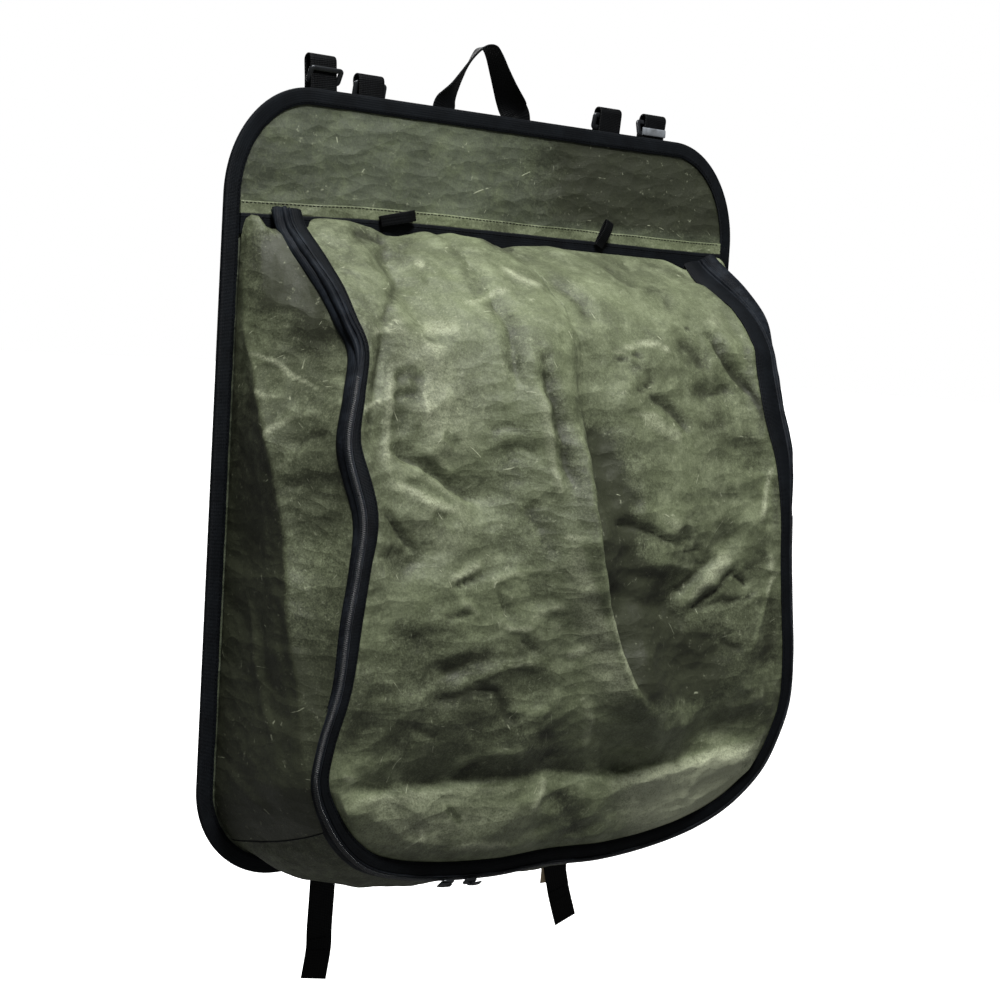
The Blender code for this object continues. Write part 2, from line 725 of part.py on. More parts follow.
def make_keepers(parent):
    for name, side, drop, degrees in KEEPERS:
        angle = math.radians(degrees)
        along = Vector((math.cos(angle), 0, math.sin(angle)))
        across = Vector((-math.sin(angle), 0, math.cos(angle)))
        depth = PANEL_THICKNESS / 2 + GAP + TOP_TAPE_THICKNESS + GAP + TAPE / 2
        base = place(side, depth, drop)
        straight = KEEPER_LENGTH - KEEPER_RADIUS
        line = [base, base + along * straight]
        for k in range(1, KEEPER_STEPS + 1):
            turn = math.pi * k / KEEPER_STEPS
            line.append(base + along * (straight + KEEPER_RADIUS * math.sin(turn))
                        - Vector((0, 1, 0)) * KEEPER_RADIUS * (1 - math.cos(turn)))
        line.append(base - Vector((0, 2 * KEEPER_RADIUS, 0)))
        item = extrude_line("keeper_loop_" + name, line, across * KEEPER_WIDTH, "webbing", parent)
        item.modifiers["wall"].thickness = TAPE


def make_bottom_straps(parent):
    for name, rows in BOTTOM_STRAPS.items():
        line = smooth_line([place(row[0], -row[1], row[2]) for row in rows], BOTTOM_STRAP_STEPS)
        rings = strap_rings(line, [0.0] * len(line), WEBBING_WIDTH, WEBBING)
        add_loft("bottom_strap_" + name, rings, "webbing", parent)


def make_label(parent):
    near = STRAP_BEHIND + WEBBING / 2 + LABEL_BEHIND
    half = LABEL_WIDTH / 2
    rings = []
    for side in (LABEL_X - half, LABEL_X + half):
        rings.append([place(side, -near, LABEL_TOP_DROP),
                      place(side, -near - LABEL_THICKNESS, LABEL_TOP_DROP),
                      place(side, -near - LABEL_THICKNESS, LABEL_BOTTOM_DROP),
                      place(side, -near, LABEL_BOTTOM_DROP)])
    add_loft("side_label", rings, "label", parent)


def make_sliders(edge, parent):
    """Each slider is a stubby body with its pull tab in one outline, under the zip chain."""
    for name, side, pull in SLIDERS:
        x = PANEL_MIDDLE_X + side
        i = min(range(edge.left_corner, edge.right_corner), key=lambda k: abs(edge.points[k].x - x))
        front_out, back_out = edge.frames[i][1], edge.frames[i][3]
        crest = (front_out + back_out).normalized()
        along = (edge.points[i + 1] - edge.points[i - 1]).normalized()
        across = along.cross(crest).normalized()
        base = edge.points[i] + crest * (CHAIN_CREST + GAP)
        half = SLIDER_LENGTH / 2
        under_pull = SLIDER_HIGH - PULL_THICKNESS
        outline = (
            # along the zip, height above it
            (-half, 0.0),
            (half, 0.0),
            (half, under_pull),
            (SLIDER_NOSE, SLIDER_HIGH),
            (PULL_ROOT - PULL_LENGTH, SLIDER_HIGH),
            (PULL_ROOT - PULL_LENGTH, under_pull),
            (-half, under_pull),
        )
        rings = []
        for shift in (-SLIDER_WIDTH / 2, SLIDER_WIDTH / 2):
            rings.append([base + along * (run * pull) + crest * height + across * shift
                          for run, height in outline])
        add_loft("zip_slider_" + name, rings, "zip", parent)


def build():
    clear_scene()
    collection = bpy.data.collections.new("canvas_storage_bag")
    bpy.context.scene.collection.children.link(collection)
    parent = {"collection": collection,
              "materials": {slot: make_material(slot) for slot in COLOURS}}
    front_face = PANEL_THICKNESS / 2 + GAP
    make_back_panel(parent)
    make_back_binding(parent)
    make_strip("top_band", BAND_TOP_DROP, BAND_BOTTOM_DROP,
               front_face, front_face + BAND_THICKNESS, "canvas", parent)
    make_strip("top_tape", BAND_BOTTOM_DROP + GAP, TAPE_BOTTOM_DROP,
               front_face, front_face + TOP_TAPE_THICKNESS, "binding", parent)
    edge = Edge()
    make_zip_chain(edge, parent)
    make_front_binding(edge, parent)
    make_zip_tape(edge, parent)
    make_front_panel(edge, parent)
    make_gussets(edge, parent)
    make_sliders(edge, parent)
    make_handle(parent)
    make_top_straps(parent)
    make_keepers(parent)
    make_bottom_straps(parent)
    make_label(parent)


build()
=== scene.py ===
"""Looks of the waxed canvas storage bag: cloth and its folds, tapes, zip coil, webbing and metal.

Places on the bag are given as in the part: sideways from the back panel's middle line, as a
depth towards the front, and as a drop below the panel's top edge, all in metres.
"""

import math

import bpy
import numpy as np
from mathutils import Matrix, Vector, noise


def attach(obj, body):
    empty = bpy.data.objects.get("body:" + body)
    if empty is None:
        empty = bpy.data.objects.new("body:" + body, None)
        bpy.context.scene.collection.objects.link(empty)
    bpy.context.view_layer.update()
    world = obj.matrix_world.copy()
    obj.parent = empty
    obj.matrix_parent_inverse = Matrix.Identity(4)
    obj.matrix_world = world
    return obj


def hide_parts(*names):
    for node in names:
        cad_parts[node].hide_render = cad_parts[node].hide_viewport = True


# Camera, fitted to the outline of the back panel in the photograph
IMAGE_SIZE = 1000
FOCAL_PIXELS = 1913.15
SENSOR = 36.0
CAMERA_AT = (-0.98734, -1.31990, -0.24733)
CAMERA_AZIMUTH = 37.898
CAMERA_PITCH = -4.696
CAMERA_ROLL = 3.343

# Light
SURROUND_LIGHT = 0.12
FLOOR_BOUNCE = (0.16, 0.16, 0.16)
FLOOR_GLOW = 0.60
FLOOR_WHITES = ((0.96, 0.96, 0.96), (0.98, 0.98, 0.98))
FLOOR_REACH = 40.0
FLOOR_Z = -1.10
SUN_FROM = (-0.20, -0.34, 1.00)
SUN_ANGLE = 18.0
SUN_STRENGTH = 3.3
KEY_AT = (-0.36, -0.95, 1.02)
KEY_SIZE = 0.40
KEY_TARGET = (0.0, -0.10, -0.30)
KEY_POWER = 44.0
REAR_AT = (0.60, 1.50, 0.30)
REAR_SIZE = 1.2
REAR_TARGET = (0.0, 0.0, -0.40)
REAR_POWER = 16.0

# Back panel
HANDLE_RISE = 0.056
PANEL_MIDDLE_X = 0.0245
PANEL_WIDTH = 0.542
PANEL_HEIGHT = 0.634
PANEL_THICKNESS = 0.002
TOP_CORNER_WIDE = 0.075
TOP_CORNER_HIGH = 0.089
BOTTOM_CORNER = 0.075
BINDING_WIDTH = 0.012
EDGE_STEP = 0.003
PANEL_INSET = 0.0015
PANEL_SIDE_INSET = 0.0012
PANEL_COLUMNS = 140
PANEL_ROWS = 120
CORNER_ROWS = 26
CORNER_POINTS = 40
PANEL_CLOTH = 0.0018
# The panel's own ripple, and where the darker ends of its flap begin and how wide they fade
RIPPLE_LENGTH = 0.11
RIPPLE_HEIGHT = 0.0006
RIPPLE_LIMIT = 0.0005
DARK_RIGHT = (0.01, 0.06)
DARK_LEFT = (0.19, 0.05)
DARK_ABOVE = 0.01
TAPE_INSIDE = 0.0013
TAPE_OUTSIDE = 0.0024
STITCH_INSET = 0.0022

# Darker areas at the sides of the flap
FLAP_RIGHT_TONE = -1.15
FLAP_LEFT_TONE = -0.20

# Band and tape across the panel
BAND_TOP_DROP = 0.087
BAND_BOTTOM_DROP = 0.0975
TAPE_BOTTOM_DROP = 0.1135
STRIP_SAG = 0.0058
STRIP_SAG_FROM = 0.100
STRIP_COLUMNS = 200
STRIPS = (
    # name, top drop, bottom drop, thickness, seed, height of its stitches above its middle
    ("top_band", BAND_TOP_DROP, BAND_BOTTOM_DROP, 0.0015, 1,
     (BAND_BOTTOM_DROP - BAND_TOP_DROP) / 2 - 0.0014),
    ("top_tape", BAND_BOTTOM_DROP - 0.0008, TAPE_BOTTOM_DROP, 0.0022, 2, 0.0055),
)

# Zip line, as in the part
ZIP_ROWS = (
    # drop, depth, left, right
    (0.096, 0.0085, 0.221, 0.219),
    (0.112, 0.021, 0.222, 0.223),
    (0.136, 0.054, 0.222, 0.231),
    (0.158, 0.084, 0.222, 0.231),
    (0.182, 0.106, 0.221, 0.228),
    (0.204, 0.118, 0.217, 0.224),
    (0.236, 0.128, 0.226, 0.225),
    (0.276, 0.136, 0.235, 0.232),
    (0.326, 0.144, 0.224, 0.231),
    (0.364, 0.147, 0.228, 0.231),
    (0.406, 0.148, 0.235, 0.235),
    (0.454, 0.147, 0.239, 0.242),
    (0.496, 0.142, 0.248, 0.247),
    (0.530, 0.136, 0.248, 0.242),
    (0.562, 0.129, 0.231, 0.230),
    (0.590, 0.122, 0.206, 0.203),
    (0.609, 0.116, 0.175, 0.167),
    (0.621, 0.112, 0.125, 0.118),
    (0.626, 0.112, 0.060, 0.058),
)
ZIP_MIDDLE_DROP = 0.624
ZIP_MIDDLE_DEPTH = 0.112
PART_STEPS = 90
STEP_RATIO = 6
ZIP_STEPS = PART_STEPS * STEP_RATIO
CURVE_STEPS = 30
CORNER_SEAM_DROP = 0.566
CLOTH_FIRST_STEP = STEP_RATIO

# Widths across the zip line
CHAIN_HALF = 0.0032
CHAIN_GAP = 0.0005
FRONT_BINDING_WIDTH = 0.010
ZIP_TAPE_WIDTH = 0.008
CLOTH_GAP = 0.0008
CLOTH = 0.0014
TUCK = 0.005

CHAIN_SINK = 0.0003
TOOTH_RISE = 0.0012
TOOTH_INSIDE = 0.0002
TOOTH_OUTSIDE = 0.0019
TOOTH_TILT = 0.0003
FOLD_FADE = 5
FOLD_WAVE = 0.12
FOLD_WAVE_LENGTH = 0.02
# Folded tapes beside the chain: their inner and outer walls, and how far they puff
REAR_WALLS = (0.0007, 0.0017)
REAR_DOME = 0.0016
FRONT_WALLS = (0.0008, 0.0019)
FRONT_DOME = 0.0008
# Sections across the zip: its chain tape, and the puffed double fold over the rolled coil
CHAIN_SECTION = (
    # across, out
    (-CHAIN_HALF, -0.0006), (-CHAIN_HALF, 0.0006), (-0.0015, 0.0011), (0.0, 0.0012),
    (0.0015, 0.0011), (CHAIN_HALF, 0.0006), (CHAIN_HALF, -0.0006), (0.0, -0.0010),
)
FOLD_SECTION = (
    # across, out
    (-0.0036, 0.0), (-0.0034, 0.0012), (-0.0024, 0.0021), (-0.0012, 0.0020),
    (-0.0005, 0.0008), (0.0002, 0.0022), (0.0016, 0.0032), (0.0032, 0.0030),
    (0.0046, 0.0018), (0.0050, 0.0004), (0.0044, -0.0004), (0.0, -0.0004),
)
# How wide the zip's two bands are, and how far its rear one is turned out to the side
LEFT_WIDTHS = (
    # drop, front binding, rear tape, degrees
    (0.096, 0.0085, 0.0090, 0),
    (0.112, 0.0100, 0.0080, 0),
    (0.136, 0.0090, 0.0070, 0),
    (0.158, 0.0060, 0.0075, 0),
    (0.182, 0.0042, 0.0080, 0),
    (0.204, 0.0034, 0.0072, 0),
    (0.236, 0.0045, 0.0075, 0),
    (0.262, 0.0060, 0.0080, 0),
    (0.290, 0.0095, 0.0080, 0),
    (0.326, 0.0095, 0.0062, 0),
    (0.364, 0.0065, 0.0045, 0),
    (0.406, 0.0085, 0.0040, 0),
    (0.454, 0.0065, 0.0034, 0),
    (0.530, 0.0070, 0.0036, 0),
    (0.590, 0.0090, 0.0060, 0),
    (0.620, 0.0100, 0.0080, 0),
)
RIGHT_WIDTHS = (
    # drop, front binding, rear tape, degrees
    (0.096, 0.0150, 0.0100, 62),
    (0.112, 0.0180, 0.0120, 66),
    (0.136, 0.0205, 0.0140, 66),
    (0.158, 0.0215, 0.0150, 60),
    (0.170, 0.0215, 0.0120, 45),
    (0.182, 0.0205, 0.0085, 30),
    (0.204, 0.0195, 0.0080, 30),
    (0.236, 0.0185, 0.0080, 28),
    (0.276, 0.0160, 0.0080, 22),
    (0.300, 0.0130, 0.0080, 12),
    (0.330, 0.0100, 0.0080, 0),
    (0.620, 0.0100, 0.0080, 0),
)
# Where the coil is rolled in behind a puffed fold of tape
LEFT_ROLL_END = 0.222
RIGHT_ROLL_END = 0.330
RIGHT_START = ZIP_STEPS - 4

# Front panel
FRONT_COLUMNS = 225
FRONT_TOP_DEPTH = 0.0050
FRONT_TOP_END = 0.022
# The front's top edge on the tape
FRONT_TOP_ROWS = (
    # side, drop
    (-0.210, 0.104),
    (-0.195, 0.102),
    (-0.180, 0.101),
    (-0.160, 0.101),
    (-0.146, 0.1035),
    (-0.137, 0.105),
    (-0.124, 0.110),
    (-0.112, 0.110),
    (-0.100, 0.107),
    (-0.086, 0.1035),
    (-0.075, 0.106),
    (-0.061, 0.103),
    (-0.050, 0.1045),
    (-0.027, 0.1055),
    (-0.019, 0.110),
    (-0.008, 0.1125),
    (0.011, 0.1085),
    (0.044, 0.106),
    (0.061, 0.107),
    (0.180, 0.1075),
    (0.208, 0.108),
)
FRONT_BULGE = 0.026
SIDE_FADE = 8
TOP_FADE = 12
BOTTOM_FADE = 8
FRONT_FOLDS = (
    # x_from, drop_from, x_to, drop_to, half_width, height
    (-0.053, 0.214, -0.013, 0.349, 0.040, 0.012),
    (-0.013, 0.349, 0.041, 0.465, 0.038, 0.014),
    (0.041, 0.465, 0.075, 0.505, 0.032, 0.010),
    (-0.010, 0.245, 0.025, 0.390, 0.022, -0.007),
    (-0.235, 0.537, 0.050, 0.534, 0.018, -0.008),
    (0.050, 0.532, 0.225, 0.510, 0.015, -0.005),
    (-0.200, 0.275, -0.120, 0.317, 0.020, -0.007),
    (-0.213, 0.320, -0.180, 0.350, 0.018, -0.006),
    (0.074, 0.395, 0.150, 0.357, 0.020, -0.007),
    (0.080, 0.408, 0.200, 0.393, 0.020, -0.006),
    (-0.140, 0.112, -0.145, 0.170, 0.020, -0.014),
    (0.137, 0.183, 0.169, 0.220, 0.020, -0.006),
)

# How creases are drawn: pixels for a millimetre near the bag, how far they wander in pixels,
# how steeply they start and end, and the strength of their heights and tones
PIXELS_PER_MM = 1.15
CREASE_WANDER = 1.6
CREASE_ENDS = 5.0
CREASE_GAIN = 0.80
TONE_GAIN = 1.15
# Creases of the front, read from the photograph, their points in its pixels. A height below
# zero is a valley. The widths are those of its slopes in the picture: to the right and to the
# left of a path that runs down, or above and below one that runs to the right. A tone above
# zero is pale worn wax on ridges and painted light on lit areas, and below zero it is painted
# shade in valleys and on shaded areas.
FRONT_CREASES = (
    # height mm, right width mm, left width mm, tone, points
    # Broad areas of painted light and shade
    (0, 60, 60, -0.50, ((385, 640), (480, 715), (560, 745))),
    (0, 30, 30, -0.45, ((350, 650), (352, 700), (348, 760))),
    (0, 50, 50, -0.60, ((680, 630), (720, 670), (735, 690))),
    (0, 30, 30, -0.25, ((500, 440), (515, 540), (540, 590))),
    (0, 30, 30, 0.22, ((400, 330), (440, 420), (450, 560))),
    (0, 30, 30, 0.80, ((610, 812), (690, 788), (752, 748))),
    (0, 24, 24, 0.45, ((650, 836), (705, 814), (752, 778))),
    (0, 20, 20, 0.30, ((350, 825), (430, 822), (540, 812))),
    (0, 30, 30, -0.25, ((700, 330), (725, 400), (745, 470))),
    # Main ridge with its valleys
    (8, 4, 14, 0.0, ((566, 405), (573, 425), (580, 460), (587, 500), (593, 545), (601, 590),
                     (609, 630), (621, 665), (630, 683), (645, 705), (656, 718))),
    (0, 1.8, 1.8, 0.5, ((573, 425), (580, 460), (587, 500), (593, 545), (601, 590), (609, 630),
                        (621, 665), (630, 683), (645, 705))),
    (0, 6, 18, 0.35, ((560, 520), (580, 570), (594, 620), (612, 668), (638, 712))),
    (-9, 34, 1.5, -1.05, ((580, 413), (586, 440), (590, 480), (595, 520), (601, 560),
                          (607, 600), (616, 635), (627, 665), (636, 682))),
    (0, 12, 12, -0.70, ((588, 425), (597, 455), (606, 490), (614, 520))),
    (0, 17, 17, -0.90, ((594, 450), (601, 490), (608, 530), (614, 560), (630, 592), (644, 612),
                        (650, 640), (672, 658), (690, 678), (702, 704))),
    (-5, 60, 2.5, -0.75, ((601, 562), (607, 600), (616, 635), (627, 665), (642, 695),
                          (652, 718))),
    (-8, 8, 6, -0.85, ((540, 352), (544, 372), (549, 392), (554, 410), (559, 432),
                       (563, 455), (567, 475), (574, 500))),
    (4, 6, 6, 0.25, ((532, 385), (538, 398), (543, 410), (545, 440), (550, 470), (558, 505))),
    (-6, 12, 10, -0.6, ((527, 500), (533, 512), (540, 525), (548, 540), (554, 562))),
    (-6, 8, 8, -0.6, ((478, 304), (495, 308), (505, 318), (510, 330), (512, 345), (511, 358),
                      (515, 375), (522, 386))),
    (-4, 9, 9, -0.4, ((463, 265), (470, 280), (478, 292), (486, 298))),
    (-2, 6, 6, -0.3, ((447, 245), (453, 255), (450, 262))),
    # Upper left
    (-7, 7, 5, -0.95, ((350, 231), (362, 236), (374, 241), (388, 246))),
    (-3, 5, 5, -0.5, ((386, 250), (379, 258), (386, 268))),
    (-3, 6, 6, -0.5, ((388, 264), (403, 250), (413, 238))),
    (1, 2.2, 2.2, 0.45, ((411, 269), (417, 268), (421, 275))),
    (-4, 5, 5, -0.6, ((397, 281), (394, 294), (387, 312), (381, 330))),
    (-3, 5, 5, -0.5, ((379, 336), (380, 350), (377, 365), (373, 385), (371, 400))),
    (2, 4, 4, 0.3, ((392, 372), (388, 395), (387, 415), (385, 440), (382, 472))),
    (1, 2.2, 2.2, 0.38, ((368, 335), (382, 330), (395, 322), (403, 322))),
    (1, 2.2, 2.2, 0.3, ((384, 334), (395, 332), (407, 335))),
    (-4, 5, 5, -0.8, ((396, 384), (401, 377), (409, 374), (416, 379), (419, 387))),
    (-4, 4, 4, -0.8, ((391, 398), (405, 396), (421, 396))),
    (-2, 9, 9, -0.4, ((399, 410), (405, 436))),
    (1, 2.2, 2.2, 0.3, ((421, 392), (423, 405), (425, 422))),
    (1, 1.8, 1.8, 0.5, ((362, 411), (370, 406), (379, 402))),
    (-2, 2, 2, -0.7, ((359, 414), (366, 420), (373, 424))),
    (1, 6, 6, 0.3, ((421, 332), (437, 330), (456, 332))),
    (-1, 1.5, 1.5, -0.5, ((422, 339), (438, 340), (453, 342))),
    (1, 2.2, 2.2, 0.45, ((420, 345), (432, 349), (442, 350))),
    (1, 2.2, 2.2, 0.52, ((461, 307), (475, 303), (488, 298), (497, 294), (508, 292))),
    (1, 2.2, 2.2, 0.38, ((498, 272), (512, 279), (525, 284), (541, 290))),
    (-3, 4, 4, -0.75, ((480, 240), (492, 247), (505, 251), (518, 253))),
    # Left arms
    (-6, 15, 2, -0.75, ((385, 447), (398, 457), (412, 466), (425, 473), (440, 482), (455, 493),
                       (466, 501), (483, 507))),
    (3, 6, 6, 0.25, ((410, 447), (425, 455), (440, 465), (456, 481))),
    (2, 3, 3, 0.35, ((382, 484), (400, 489), (415, 497), (428, 505), (437, 508), (456, 513))),
    (-2, 3, 3, -0.4, ((402, 482), (420, 488), (435, 494), (454, 503))),
    (-5, 2, 4, -0.80, ((376, 507), (385, 517), (395, 529), (405, 541), (413, 549))),
    (-5, 14, 14, -0.65, ((380, 552), (392, 560), (402, 568), (412, 577))),
    (-3, 7, 7, -0.45, ((430, 512), (445, 520), (456, 528))),
    (-3, 4, 4, -0.5, ((440, 434), (448, 440), (456, 447))),
    (-3, 5, 5, -0.5, ((487, 437), (498, 429), (508, 426), (518, 429), (527, 439))),
    (-3, 14, 14, -0.4, ((508, 440), (512, 465), (520, 488))),
    (0, 2.2, 2.2, 0.3, ((512, 538), (530, 539), (560, 538), (592, 538))),
    (3, 3, 3, 0.45, ((444, 579), (460, 574), (472, 568), (481, 563))),
    (2.5, 3, 3, 0.45, ((484, 580), (500, 577), (520, 573), (535, 568), (561, 567))),
    (-3, 1.6, 1.6, -0.75, ((446, 587), (460, 584), (472, 580), (483, 575))),
    (1, 3, 3, 0.35, ((480, 561), (494, 558), (506, 557))),
    (-3, 12, 12, -0.4, ((525, 590), (550, 588))),
    (-3, 7, 2, -0.4, ((493, 588), (499, 603), (505, 616), (514, 625))),
    (2, 3, 3, 0.45, ((497, 624), (508, 628), (520, 628), (531, 625))),
    (1, 3, 3, 0.3, ((525, 620), (540, 609), (560, 605))),
    (-3, 2, 4, -0.4, ((438, 619), (455, 615), (471, 611))),
    (2, 4, 4, 0.35, ((455, 602), (468, 608), (478, 618))),
    (-2, 14, 14, -0.45, ((385, 622), (405, 634), (425, 645))),
    (-3, 8, 8, -0.5, ((438, 676), (460, 666), (480, 656), (493, 662))),
    (2, 2.5, 2.5, 0.45, ((454, 681), (468, 678), (480, 675), (500, 666), (520, 662), (542, 660))),
    (-3, 3, 3, -0.5, ((518, 639), (528, 647), (536, 652))),
    (1, 3, 3, 0.5, ((563, 656), (574, 652), (583, 647))),
    # Upper right
    (-4, 6, 6, -0.55, ((545, 278), (556, 288), (565, 293), (573, 302), (583, 313), (591, 321))),
    (-2, 3, 3, -0.4, ((527, 349), (543, 346))),
    (-2, 3, 3, -0.4, ((536, 358), (549, 357))),
    (-3, 6, 6, -0.45, ((600, 268), (612, 275), (625, 282), (638, 291))),
    (-3, 5, 5, -0.5, ((640, 292), (655, 290), (664, 298), (667, 318))),
    (0, 1.5, 1.5, -0.9, ((680, 332), (687, 331))),
    (-4, 5, 5, -0.7, ((673, 356), (682, 346), (690, 356), (697, 365), (704, 373))),
    (-8, 6, 3, -0.95, ((702, 336), (711, 344), (718, 355), (725, 367), (733, 377), (742, 385),
                      (752, 395), (760, 410), (764, 432))),
    (3, 8, 8, 0.25, ((704, 318), (716, 335), (731, 352), (746, 374))),
    (-3, 4, 4, -0.4, ((742, 344), (748, 360), (753, 372))),
    (-4, 5, 5, -0.65, ((688, 391), (700, 394), (715, 393), (731, 390))),
    (-3, 1.8, 1.8, -1.0, ((608, 362), (620, 360), (630, 356), (641, 354))),
    (1.5, 2, 2, 0.5, ((612, 357), (625, 350), (640, 346), (655, 348), (669, 357))),
    (-3, 6, 6, -0.5, ((622, 373), (635, 368), (645, 370), (651, 379))),
    (-3, 1.8, 1.8, -0.9, ((632, 394), (642, 388), (651, 382))),
    (0, 1.5, 1.5, -0.35, ((599, 396), (612, 396), (623, 395))),
    (-6, 5, 4, -0.9, ((647, 391), (655, 402), (665, 408), (672, 415), (680, 423), (686, 434))),
    (2, 7, 7, 0.3, ((638, 418), (658, 429), (679, 439))),
    (0, 2.2, 2.2, 0.26, ((618, 417), (640, 415), (656, 418))),
    (-2, 4, 4, -0.5, ((694, 426), (708, 428), (723, 424))),
    (-3, 14, 14, -0.4, ((742, 432), (751, 450), (757, 475))),
    # Right side
    (1.5, 2.2, 2.2, 0.49, ((775, 462), (770, 475), (765, 490), (762, 508), (758, 522))),
    (-2, 5, 4, -0.55, ((775, 476), (776, 500), (775, 532))),
    (-2, 5, 5, -0.4, ((619, 486), (628, 495), (640, 507))),
    (-5, 2, 6, -0.65, ((612, 522), (625, 525), (640, 527), (652, 531), (662, 537), (676, 545))),
    (-3, 2.5, 2.5, -0.6, ((674, 543), (683, 539), (693, 540))),
    (2, 8, 8, 0.25, ((640, 508), (655, 516), (680, 530))),
    (-3, 2.5, 2.5, -0.65, ((679, 551), (690, 551), (699, 547))),
    (2, 3, 3, 0.4, ((654, 563), (668, 563), (678, 566), (691, 568))),
    (-3, 5, 5, -0.6, ((628, 574), (648, 578), (668, 575))),
    (4, 7, 7, 0.55, ((730, 553), (712, 570), (700, 582), (688, 595), (675, 608))),
    (-3, 2.5, 2.5, -0.7, ((713, 557), (696, 569), (682, 583), (670, 593))),
    (-4, 2, 2.5, -0.8, ((738, 562), (729, 573), (715, 587), (703, 597), (690, 608), (682, 613))),
    (-3, 3, 3, -0.75, ((669, 612), (676, 618), (686, 624))),
    (-4, 2, 2, -1.0, ((731, 573), (737, 578), (744, 585))),
    (-3, 5, 5, -0.65, ((741, 571), (752, 565), (762, 558), (769, 552))),
    (2, 3, 3, 0.5, ((768, 552), (770, 562), (768, 571))),
    (-3, 1.8, 1.8, -0.75, ((689, 613), (700, 606), (715, 602), (730, 599), (745, 596), (756, 590))),
    (2, 2, 2, 0.5, ((781, 568), (772, 577), (765, 590), (762, 605), (758, 618), (754, 635),
                    (745, 652))),
    (-4, 10, 10, -0.65, ((776, 590), (771, 612), (768, 645), (760, 672))),
    (-2, 1.6, 1.6, -0.5, ((664, 638), (680, 638), (700, 638), (713, 637))),
    (0, 2, 2, 0.35, ((719, 633), (736, 632))),
    (-3, 3, 3, -0.5, ((719, 640), (732, 646), (741, 648))),
    (-4, 8, 8, -0.3, ((606, 590), (625, 597), (645, 606), (668, 611))),
    (-3, 24, 24, -0.3, ((655, 650), (685, 668), (712, 692))),
    # Lower part and the band under the long crease
    (2, 2, 2, 0.4, ((361, 698), (380, 699), (400, 700), (415, 697), (427, 689), (441, 683))),
    (-4, 3, 8, -0.5, ((422, 706), (435, 700), (450, 696), (465, 691), (480, 688), (494, 689),
                      (499, 700), (503, 713), (519, 723))),
    (3, 4, 4, 0.5, ((505, 710), (516, 708), (530, 711), (546, 707))),
    (-5, 14, 14, -0.60, ((541, 726), (551, 745), (554, 762))),
    (-2, 3, 3, -0.4, ((404, 721), (418, 728), (430, 735), (441, 739))),
    (-2, 12, 12, -0.4, ((392, 748), (412, 752))),
    (1, 3, 3, 0.35, ((364, 761), (375, 752), (386, 745))),
    (1, 3, 3, 0.4, ((340, 776), (356, 781))),
    (2, 3, 3, 0.45, ((449, 768), (468, 760), (480, 756), (495, 752), (510, 752), (521, 750))),
    (-3, 3, 3, -0.65, ((457, 773), (468, 766), (481, 762))),
    (-2, 10, 1.5, -0.45, ((336, 793), (360, 790), (380, 787), (400, 785), (420, 783), (440, 783),
                          (455, 780), (475, 778), (500, 776), (520, 773), (540, 769), (575, 772),
                          (609, 775), (650, 764), (688, 754), (720, 747), (741, 740), (768, 722))),
    (2, 1.5, 9, 0.3, ((612, 783), (650, 773), (688, 763), (720, 756), (741, 749), (765, 732))),
    (2, 1.5, 9, 0.3, ((336, 801), (380, 795), (420, 791), (455, 788), (475, 786), (500, 784),
                      (520, 781), (540, 778))),
    (1.2, 2.2, 2.2, 0.49, ((449, 847), (465, 843), (485, 842), (500, 841), (508, 845))),
    (-5, 14, 14, -0.75, ((557, 788), (563, 805), (569, 820), (578, 836))),
    (2, 4, 4, 0.4, ((541, 774), (538, 790), (530, 812))),
    (2, 5, 5, 0.20, ((581, 690), (589, 722), (585, 748), (594, 778))),
    (-1.5, 2.5, 2.5, -0.6, ((443, 805), (451, 812), (458, 821))),
    (0, 2, 2, 0.4, ((418, 826), (420, 842))),
)

# Gussets
SEAM_INSET = 0.0145
SEAM_DEPTH = 0.0024
SEAM_TOP_DROP = 0.110
SEAM_TOP_LIFT = 0.008
SIDE_GUSSET_COLUMNS = 90
BOTTOM_GUSSET_COLUMNS = 70
SIDE_BULGE = 0.006
BOTTOM_SAG = 0.020
# Painted shade laid evenly over the bottom gusset
BOTTOM_SHADE = -0.75
# Painted shade of a side gusset: behind its ridge, and low down, from a drop over a length
BEHIND_SHADE = 0.80
BEHIND_FROM = (0.20, 0.06)
BEHIND_FADE = 0.006
LOW_SHADE = 1.05
LOW_FROM = (0.28, 0.16)
CORNER_SEAM_HALVES = (0.0008, 0.0006)
CORNER_SEAM_STEPS = 60
RIDGE_HEIGHT = 0.014
RIDGE_FRONT = 0.022
RIDGE_REAR = 0.040
# How the top edge of a side gusset stands up in an ear, from the zip to the seam
EAR_ROWS = (
    # part of the way, lift
    (0.00, 0.0),
    (0.25, 0.002),
    (0.43, 0.006),
    (0.61, 0.0155),
    (0.77, 0.018),
    (0.89, 0.0165),
    (1.00, 0.010),
)
EAR_REACH = 0.024
EAR_CURL = 0.004
# Where the ridge of a side gusset runs
RIDGE_ROWS = (
    # depth, drop
    (0.004, 0.120),
    (0.010, 0.160),
    (0.017, 0.195),
    (0.027, 0.216),
    (0.044, 0.248),
    (0.065, 0.275),
    (0.074, 0.294),
    (0.080, 0.325),
    (0.086, 0.355),
    (0.097, 0.393),
    (0.106, 0.429),
    (0.113, 0.455),
    (0.121, 0.480),
    (0.129, 0.510),
    (0.132, 0.540),
    (0.130, 0.570),
)
